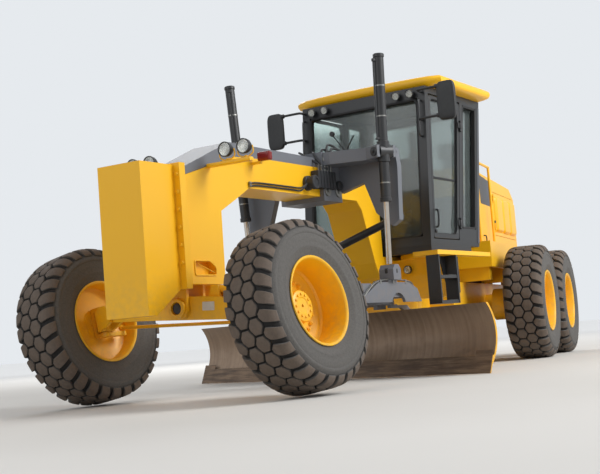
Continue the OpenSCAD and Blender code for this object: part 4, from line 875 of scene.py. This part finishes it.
# Grab rails on the front posts
rails = tube(through([(-0.120, 0.700, 2.42), (-0.070, 0.705, 2.44), (-0.085, 0.705, 2.60),
                      (-0.100, 0.705, 2.78), (-0.150, 0.700, 2.80)], 6), 0.011, 10)
piece("grab_rails", copies(rails, front_sides), black, "front_frame")
slate = enamel("slate_enamel", "#43464b", "#3b3e43", 0.5)
cover_edge = rounded(opening(1.150, 1.205, 1.330, 2.880, 0.0, (rear_slope, rear_slope)), 0.01)
covers = copies(slab(cover_edge, 0.7503, 0.7540, 0.0012), front_sides)
piece("post_covers", covers, slate, "front_frame")


# Cab roof
# One moulding of glass-reinforced plastic, painted yellow, with a bowed front edge and well
# rounded rims, screwed down on the cab's header.
roof_bow = 0.047


def roof_ring(z, inward):
    """Outline of the roof at one height: sides straight, front x = x0 + bow (1 - (y/half)^2), and
    rounded corners from a high power of y/half, taken off the front and added to the rear."""
    half, x_front, x_back = 0.885 - inward, -0.262 - inward, -1.650 + inward
    v = np.linspace(-1, 1, 17)
    bow = np.stack([x_front + roof_bow * (1 - v ** 2) - 0.05 * np.abs(v) ** 12, v * half], 1)
    rear_edge = np.stack([x_back + 0.06 * np.abs(v) ** 10, -v * half], 1)
    return np.insert(np.concatenate([bow, rear_edge]), 2, z, axis=1)


levels = [(2.9505, 0.10), (2.956, 0.055), (2.975, 0.018), (3.005, 0.002), (3.030, 0.0), (3.050, 0.008),
          (3.066, 0.030), (3.078, 0.075), (3.084, 0.16), (3.085, 0.40)]
roof = shell(np.stack([roof_ring(z, inward) for z, inward in levels]))
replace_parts(piece("roof_moulding", put(roof, front), yellow, "front_frame", 50),
            "cab_roof")


# Mirrors
# Black moulded housings with rounded corners, silvered glass behind, clamped on bent steel
# tubes that reach out from the cab's front posts.
def cushion(low, high, power, rows=24, cols=32):
    """A closed rounded box: the direction (u, v) on a sphere with each coordinate raised to
    2/power, scaled to the box from low to high. A larger power is squarer."""
    u = np.linspace(-np.pi / 2, np.pi / 2, rows)[1:-1, None]
    v = np.linspace(-np.pi, np.pi, cols, endpoint=False)[None, :]
    x, y, z = np.cos(u) * np.cos(v), np.cos(u) * np.sin(v), np.sin(u) + 0 * v
    unit = np.stack([np.sign(k) * np.abs(k) ** (2 / power) for k in (x, y, z)], -1)
    low, high = np.array(low), np.array(high)
    return shell((low + high) / 2 + unit * (high - low) / 2)


housing = cushion((-0.030, -0.100, -0.200), (0.030, 0.100, 0.200), 5.0, 30, 40)
silver_edge = rounded(rectangle(-0.082, 0.082, -0.178, 0.178), 0.025)
glass_plate = slab(silver_edge, -0.0300, -0.0285, 0.0005, axis=0)
arms = []
for z, x in ((2.590, -0.146), (2.890, -0.175)):
    arms.append(tube(through([(x, 0.712, z), (-0.085, 0.716, z), (-0.062, 0.745, z),
                              (-0.060, 0.90, z), (-0.060, 0.955, z)], 6), 0.0135, 12))
    arms.append(put(prism(16, 0.024, 0.050, 0.004), facing((-0.060, 0.925, z), left)))
at_mirror = shift(-0.060, 1.040, 2.730)
silvered = speckled("silvered_glass", "#e4e7e8", "#d5d9da", 200, 0.04, 1.0)
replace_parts(piece("mirror_housings", copies(join(put(housing, at_mirror), *arms), front_sides), plastic,
                  "front_frame"), "mirrors")
piece("mirror_glass", copies(put(glass_plate, at_mirror), front_sides), silvered, "front_frame")


# Operator's seat
# Foam cushions in dark woven cloth with a stitched roll along each side, on a suspension base
# with a rubber bellows. The cushions are soft and crowned as a sat-in seat is.
cloth = speckled("woven_seat_cloth", "#3a3d42", "#2f3236", 30, 0.85)
tree, shader = cloth.node_tree, shader_of(cloth)
place = add(tree, "TexCoord").outputs["Object"]
weft = add(tree, "TexWave", {"Vector": place, "Scale": 160.0}, bands_direction="Y")
warp = add(tree, "TexWave", {"Vector": place, "Scale": 160.0}, bands_direction="DIAGONAL")
weave = add(tree, "Math", {0: weft.outputs["Fac"], 1: warp.outputs["Fac"]}, operation="MULTIPLY")
bump = add(tree, "Bump", {"Strength": 0.4, "Distance": 0.0008, "Height": weave.outputs[0]})
tree.links.new(bump.outputs[0], shader.inputs["Normal"])
shader.inputs["Sheen Weight"].default_value = 0.2


def crowned(shape, axis, centre, half, rise):
    """The shape's far side raised along an axis by rise (1-u^2)(1-v^2), with u and v across it."""
    points, quads, tris = shape
    others = [k for k in range(3) if k != axis]
    u, v = ((points[:, k] - centre[k]) / half[k] for k in others)
    lift_by = rise * np.clip(1 - u ** 2, 0, 1) * np.clip(1 - v ** 2, 0, 1)
    points = points.copy()
    points[:, axis] += np.where(points[:, axis] > centre[axis], lift_by, 0)
    return points, quads, tris


seat_pan = cushion((-0.25, -0.24, -0.055), (0.25, 0.24, 0.045), 3.4, 34, 60)
seat_pan = crowned(seat_pan, 2, (0, 0, 0), (0.25, 0.24, 0.05), 0.012)
rolls = [cushion((-0.23, s * 0.215 - 0.03, -0.03), (0.23, s * 0.215 + 0.03, 0.058), 2.6, 20, 30)
         for s in (1, -1)]
seat_back = crowned(cushion((-0.045, -0.225, -0.31), (0.045, 0.225, 0.31), 3.2, 40, 56), 0,
                    (0, 0, 0), (0.045, 0.225, 0.31), 0.010)
back_rolls = [cushion((-0.03, s * 0.20 - 0.028, -0.28), (0.056, s * 0.20 + 0.028, 0.28), 2.6, 24, 30)
              for s in (1, -1)]
on_base = front @ shift(-0.795, 0, 1.680)
at_back = front @ shift(-1.010, 0, 2.055) @ turn(1, -6)
for name, shape, place in (("seat_cushion", join(seat_pan, *rolls), on_base),
                           ("seat_back_cushion", join(seat_back, *back_rolls), at_back)):
    soft = piece(name, put(shape, place), cloth, "front_frame", 60)
    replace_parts(soft, "seat")
base_rings = [(0.0, 0.13), (0.03, 0.135)] + [(0.05 + 0.024 * k, 0.112 + 0.018 * (k % 2)) for k in range(8)]
base_rings += [(0.25, 0.135), (0.31, 0.135), (0.325, 0.12)]
bellows = put(revolve(base_rings, 32), front @ facing((-0.800, 0, 1.2905), upward))
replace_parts(piece("seat_base", bellows, seal, "front_frame"), "seat")


# Steering wheel and levers
# Steering column under a moulded shroud, rubber-covered rim on three spokes, and two banks of
# short levers with round knobs on the arm pods.
shroud_corner = 0.03
# Columns: rear and front x, half width and height of the shroud's sections
sections = [(-0.385, -0.245, 0.078, 1.291), (-0.385, -0.280, 0.070, 1.55),
            (-0.388, -0.305, 0.060, 1.85), (-0.385, -0.320, 0.045, 1.985)]
column = layered([(rounded(rectangle(x_rear, x_front, -half, half), shroud_corner), z, 0)
                  for x_rear, x_front, half, z in sections], axis=2)
a = np.linspace(0, 2 * np.pi, 48, endpoint=False)
b = np.linspace(0, 2 * np.pi, 12, endpoint=False)
wheel_r, grip_r, wheel_rise = 0.170, 0.0125, 0.075
reach = wheel_r + grip_r * np.cos(b)[:, None]
height = wheel_rise + grip_r * np.sin(b)[:, None] + 0 * a
rim_shape = shell(np.stack([reach * np.cos(a), reach * np.sin(a), height], -1), loop=True)
spokes = [put(plate((0.018, 0.165), (-0.011, 0.011), (0.070, 0.080), 0.004, 0.002, axis=2),
              turn(2, k)) for k in (90, 210, 330)]
hub = put(revolve([(-0.018, 0.020), (0.04, 0.022), (0.062, 0.040), (0.080, 0.042), (0.086, 0.030)], 24),
          up)
at_wheel = shift(-0.370, 0, 1.980) @ turn(1, -25)
pod_y, pod_half, lever_step = 0.370, 0.068, 0.070
pods, levers = [], []
for y in (pod_y, -pod_y):
    pods.append(cushion((-0.860, y - pod_half, 1.295), (-0.502, y + pod_half, 1.870), 7.0, 26, 40))
    for n in range(4):
        x = -0.560 - lever_step * n
        levers.append(tube([(x, y, 1.862), (x - 0.004, y, 1.893)], 0.005, 8))
        levers.append(cushion((x - 0.017, y - 0.013, 1.880), (x + 0.010, y + 0.013, 1.908), 2.0, 10, 12))
control_set = join(column, put(join(rim_shape, *spokes, hub), at_wheel), *pods, *levers)
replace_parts(piece("control_set", put(control_set, front), plastic, "front_frame"), "controls")


# Moldboard
# Rolled high-tensile plate: its front polished brown by the soil it rolls, its back painted.
# Bolted cutting edges in two lengths and reversible end bits of bare through-hardened steel.
side_shift = -0.500
blade = circle @ shift(0, side_shift, 0)
# The circle's 16 degrees in radians, for the streaks that follow the blade
blade_turn = -0.279
worn = speckled("worn_blade_steel", "#6d5b4c", "#4b3c31", 180, 0.5, 0.55, 0.8)
tree, shader = worn.node_tree, shader_of(worn)
place = add(tree, "TexCoord")
streaks = add(tree, "Mapping", {"Vector": place.outputs["Object"], "Rotation": (0, 0, -blade_turn),
                                "Scale": (3.0, 0.8, 14.0)})
streaks = add(tree, "TexNoise", {"Vector": streaks.outputs[0], "Scale": 2.5, "Detail": 8.0,
                                 "Roughness": 0.65})
rust = add(tree, "MapRange", {"Value": streaks.outputs["Fac"], "From Min": 0.42, "From Max": 0.62})
old = shader.inputs["Base Color"].links[0].from_socket
scoured = add(tree, "Mix", {0: rust.outputs[0], 6: old, 7: linear("#87705a")}, data_type="RGBA")
tree.links.new(scoured.outputs[2], shader.inputs["Base Color"])


def two_faced(name, hex_colour, roughness, way, bare_hex):
    """Enamel on the faces that look away from `way`, scoured steel on those that look along it:
    mask = the dot product of the normal and way, carried from 0.15..0.35 to 0..1. The scouring
    runs up the plate, as the soil rolls, in streaks some 20 mm wide."""
    made = enamel(name, hex_colour, hex_colour, roughness)
    tree, shader = made.node_tree, shader_of(made)
    texture = add(tree, "TexCoord")
    toward = add(tree, "VectorMath", {0: texture.outputs["Normal"], 1: way}, operation="DOT_PRODUCT")
    mask = add(tree, "MapRange", {"Value": toward.outputs["Value"], "From Min": 0.15, "From Max": 0.35})
    up_grain = add(tree, "Mapping", {"Vector": texture.outputs["Object"],
                                     "Rotation": (0, 0, blade_turn), "Scale": (2.0, 0.10, 1.6)},
                   vector_type="TEXTURE")
    scoured = two_tone(tree, up_grain.outputs[0], bare_hex, "#745f4e", Scale=2.2, Detail=6.0,
                       Roughness=0.5)[0]
    paint = shader.inputs["Base Color"].links[0].from_socket
    base = add(tree, "Mix", {0: mask.outputs[0], 6: paint, 7: scoured}, data_type="RGBA")
    tree.links.new(base.outputs[2], shader.inputs["Base Color"])
    metal = add(tree, "Math", {0: mask.outputs[0], 1: 0.75}, operation="MULTIPLY")
    tree.links.new(metal.outputs[0], shader.inputs["Metallic"])
    return made


blade_way = tuple(turn(2, circle_turn)[:3, 0].tolist())
dress(two_faced("moldboard_finish", "#f6b70c", 0.36, blade_way, "#a8917a"), "moldboard")
half_blade = 2.135
edge_line = np.array([(-0.386, 0.005), (-0.402, 0.005), (-0.4545, 0.140), (-0.4680, 0.165),
                      (-0.4480, 0.165), (-0.4400, 0.150)])
half_gap = 0.0015
edges = [slab(edge_line + [0.0008, 0], low, high, 0.002)
         for low, high in ((-half_blade, -half_gap), (half_gap, half_blade))]
bit = np.array([(-0.3850, 0.0060), (-0.3895, 0.0060), (-0.4655, 0.210), (-0.4612, 0.212)])
bit_in, bit_out = half_blade - 0.190, half_blade + 0.0080
ends = [slab(bit, low, high, 0.0012) for low, high in ((bit_in, bit_out), (-bit_out, -bit_in))]
piece("cutting_edges", put(join(*edges), blade), worn, "moldboard")
piece("end_bits", put(join(*ends), blade), worn, "moldboard")
edge_lean, bolt_pitch = np.radians(21), 0.1524
edge_way = (np.cos(edge_lean), 0, np.sin(edge_lean))
plow_set = copies(revolve([(0, 0.016), (0.004, 0.015), (0.006, 0.010), (0.006, 0.004)], 12),
                  [facing((-0.4300, y, 0.103), edge_way)
                   for y in np.arange(-half_blade + 0.08, half_blade, bolt_pitch)])
piece("plow_bolts", put(plow_set, blade), zinc, "moldboard")


# Circle, drawbar and their drive
# Forged ring with teeth cut inside it, turned by a worm gearbox on the drawbar's top plate.
# Hydraulic motor in cast iron on the gearbox, bolted, with steel lines along the beams.
teeth = 64
a = np.linspace(0, 2 * np.pi, teeth * 4, endpoint=False)
deep = np.tile([0.0, 0.0, 1.0, 1.0], teeth)
tooth_depth = 0.018
inner, outer = 0.5455 - tooth_depth * deep, np.full(teeth * 4, 0.5475)
rows = [(inner + 0.002, 0.703), (inner, 0.705), (inner, 0.750), (inner + 0.002, 0.752), (outer, 0.752),
        (outer, 0.703)]
rack = shell(np.stack([np.stack([r * np.cos(a), r * np.sin(a), np.full_like(a, z)], 1) for r, z in rows]),
             loop=True)
piece("circle_teeth", put(rack, circle), zinc, "circle_ring")
box_x, bolt_circle = 1.360, 0.100
gearbox = [put(revolve([(0.0, 0.115), (0.018, 0.115), (0.022, 0.098), (0.085, 0.092), (0.100, 0.070),
                        (0.104, 0.060), (0.150, 0.058), (0.156, 0.050)], 40), shift(box_x, 0, 0.7965) @ up),
           plate((box_x - 0.075, box_x + 0.075), (0.815, 0.885), (0.05, 0.210), 0.02, 0.010),
           put(revolve([(0.0, 0.052), (0.120, 0.052), (0.128, 0.044), (0.150, 0.040), (0.156, 0.030)], 28),
               facing((box_x, 0.208, 0.850), left))]
gearbox.append(bolts([(box_x + bolt_circle * np.cos(t), bolt_circle * np.sin(t), 0.8145)
                      for t in np.arange(8) * np.pi / 4 + 0.2], upward, 0.009, 0.007))
piece("circle_gearbox", put(join(*gearbox), front), iron, "drawbar")
pipes = [tube(through([(0.520, y, 0.835), (0.66, y, 0.912), (1.240, y, 0.912), (1.545, y, 0.768)], 5),
              0.006, 8) for y in (0.780, 0.794)]
clips = [plate((x, x + 0.03), (0.885, 0.925), (0.8003, 0.8043), 0.006, 0.001)
         for x in (0.70, 0.95, 1.20)]
piece("drawbar_lines", copies(join(*pipes, *clips), front_sides), zinc, "drawbar")
socket_x, socket_y = 0.977, 0.780
ball = revolve([(-0.050, 0.050), (-0.048, 0.066), (-0.015, 0.0765), (0.020, 0.0765), (0.030, 0.070)], 32)
sockets = copies(ball, [shift(socket_x, y, 1.0) @ up for y in (socket_y, -socket_y)])
piece("lift_socket_bands", put(sockets, front), black, "drawbar")


# Frame trim
# Bead welded round the opening in the head, its stiffening bar, cover screws, and the step
# treads of punched steel on the ladders with their raised anti-slip ribs.
head_hole = rounded([(2.930, 1.020), (3.200, 1.020), (3.200, 1.125), (3.010, 1.125), (2.930, 1.075)],
                    0.012, 6)
bead = window(inset(head_hole, -0.014), inset(head_hole, -0.001), neck_side, 0.2080, 0.003)
brace = tube([(2.955, 0.2045, 1.035), (3.185, 0.2045, 1.110)], 0.004, 6)
piece("head_trim", copies(join(bead, brace), front_sides), yellow, "front_frame")
screws = [(x, y, 2.1603) for x in (1.05, 1.45, 1.85, 2.25) for y in (0.12, -0.12)]
piece("cover_screws", put(bolts(screws, upward, 0.010, 0.007), front), zinc, "front_frame")
platform_finish = enamel("platform_enamel", *yellow_look)
tree, shader = platform_finish.node_tree, shader_of(platform_finish)
place = add(tree, "SeparateXYZ", {0: add(tree, "TexCoord").outputs["Object"]})
# The ladders are black: below the deck and further out than the cab's floor
floor_half, deck_low = 0.731, 1.172
off_middle = add(tree, "Math", {0: place.outputs["Y"], 1: front_y}, operation="SUBTRACT")
off_middle = add(tree, "Math", {0: off_middle.outputs[0]}, operation="ABSOLUTE")
outer = add(tree, "Math", {0: off_middle.outputs[0], 1: floor_half}, operation="GREATER_THAN")
under = add(tree, "Math", {0: place.outputs["Z"], 1: deck_low}, operation="LESS_THAN")
ladder = add(tree, "Math", {0: outer.outputs[0], 1: under.outputs[0]}, operation="MULTIPLY")
paint = shader.inputs["Base Color"].links[0].from_socket
base = add(tree, "Mix", {0: ladder.outputs[0], 6: paint, 7: linear(black_hex)}, data_type="RGBA")
tree.links.new(base.outputs[2], shader.inputs["Base Color"])
dress(platform_finish, "platforms")
treads = []
rib_step = 0.024
# Columns: side, front and rear end of that ladder's steps
for s, x_front, x_rear in ((1, -0.090, -0.320), (-1, -0.150, -0.560)):
    for z in (0.7103, 0.9653):
        for x in np.arange(x_rear + 0.030, x_front - 0.015, rib_step):
            rib = plate((x - 0.005, x + 0.005), (z, z + 0.005), (0.742, 0.868), 0.002, 0.001)
            treads.append(put(rib, flip(s)))
piece("ladder_treads", put(join(*treads), front), zinc, "front_frame")
saddle_pins = copies(screw_cap(0.055, 0.014, 0.004, 0.022, 0.026),
                     [facing((x, s * 0.2453, z), (0, s, 0))
                      for s in (1, -1) for z in (1.83, 2.13) for x in (0.90, 1.10)])
piece("saddle_pins", put(saddle_pins, front), zinc, "front_frame")


# Engine hood, doors and rear
# Pressed sheet steel, painted yellow with a grey panel at the upper front, deep swages in the
# doors, black flush latches. Exhaust stack of aluminised steel, tinted by heat.
panel_edge = rounded([(-3.015, 1.905), (-2.377, 1.905), (-2.377, 2.262), (-3.015, 2.222)], 0.03)
panel = slab(panel_edge, hood_side, hood_side + 0.002, 0.0008)
piece("hood_panels", copies(panel, rear_sides), slate, "rear_frame")
swage_long = 0.375
for s, side in sides:
    node, place = "hood_door_" + side, rear @ flip(s)
    swages = []
    for x in (-4.385, -3.960, -3.535):
        outline = rounded(rectangle(x, x + swage_long, 1.600, 2.060), 0.06, 7)
        steps = [(hood_side, 0.0), (0.570, 0.004), (0.588, 0.020), (0.594, 0.030), (0.595, 0.045)]
        swages.append(layered([(outline, y, inward) for y, inward in steps]))
    piece("hood_swages_" + side, put(join(*swages), place), yellow, node)
    latch = join(plate((-4.405, -4.393), (1.76, 1.86), (hood_side, 0.572), 0.004, 0.002),
                 plate((-3.125, -3.090), (1.62, 1.74), (hood_side, 0.576), 0.010, 0.004))
    piece("hood_latches_" + side, put(latch, place), plastic, node)
grip_x = -2.383
grip = tube(through([(grip_x, 0.560, 1.42), (grip_x, 0.590, 1.43), (grip_x, 0.592, 1.50),
                     (grip_x, 0.560, 1.51)], 5), 0.008, 8)
piece("hood_grips", copies(grip, rear_sides), black, "rear_frame")
heat_steel = speckled("aluminised_stack_steel", "#4a4745", "#37302b", 140, 0.5, 0.7, 0.2)
dress(heat_steel, "exhaust")
dress(iron, "engine")
dress(red_lens, "rear_lamps")
stack = rear @ shift(-2.530, -0.260, 0) @ up
stack_rim = revolve([(2.920, 0.0475), (2.9205, 0.044), (2.880, 0.043), (2.860, 0.020)], 28)
bands = join(*(band(z, 0.02, 0.0755, 0.0785) for z in (2.36, 2.58)), stack_rim)
piece("stack_bands", put(bands, stack), zinc, "rear_frame")
bar_half, bar_step = 0.004, 0.035
mesh_bars = [plate((y - bar_half, y + bar_half), (1.51, 1.99), (-4.4975, -4.4935), 0.001, 0.0008,
                   axis=0, steps=2) for y in np.arange(-0.42, 0.43, bar_step)]
piece("grille_bars", put(join(*mesh_bars), rear), black, "rear_frame")
lid = revolve([(0, 0.100), (0.006, 0.100), (0.009, 0.094), (0.009, 0.030)], 36)
lid_x, lid_y, lid_thick, lid_bolts_r = 0.42, 0.8303, 0.009, 0.085
for s, side in sides:
    lids, heads = [], []
    for x in (tandem_x + lid_x, tandem_x - lid_x):
        lids.append(put(lid, facing((x, s * lid_y, tyre_r), (0, s, 0))))
        spots = [(x + lid_bolts_r * np.cos(t), s * (lid_y + lid_thick), tyre_r + lid_bolts_r * np.sin(t))
                 for t in np.arange(8) * np.pi / 4]
        heads.append(bolts(spots, (0, s, 0), 0.008, 0.007))
    piece("tandem_covers_" + side, put(join(*lids, *heads), rear), yellow, "tandem_" + side)
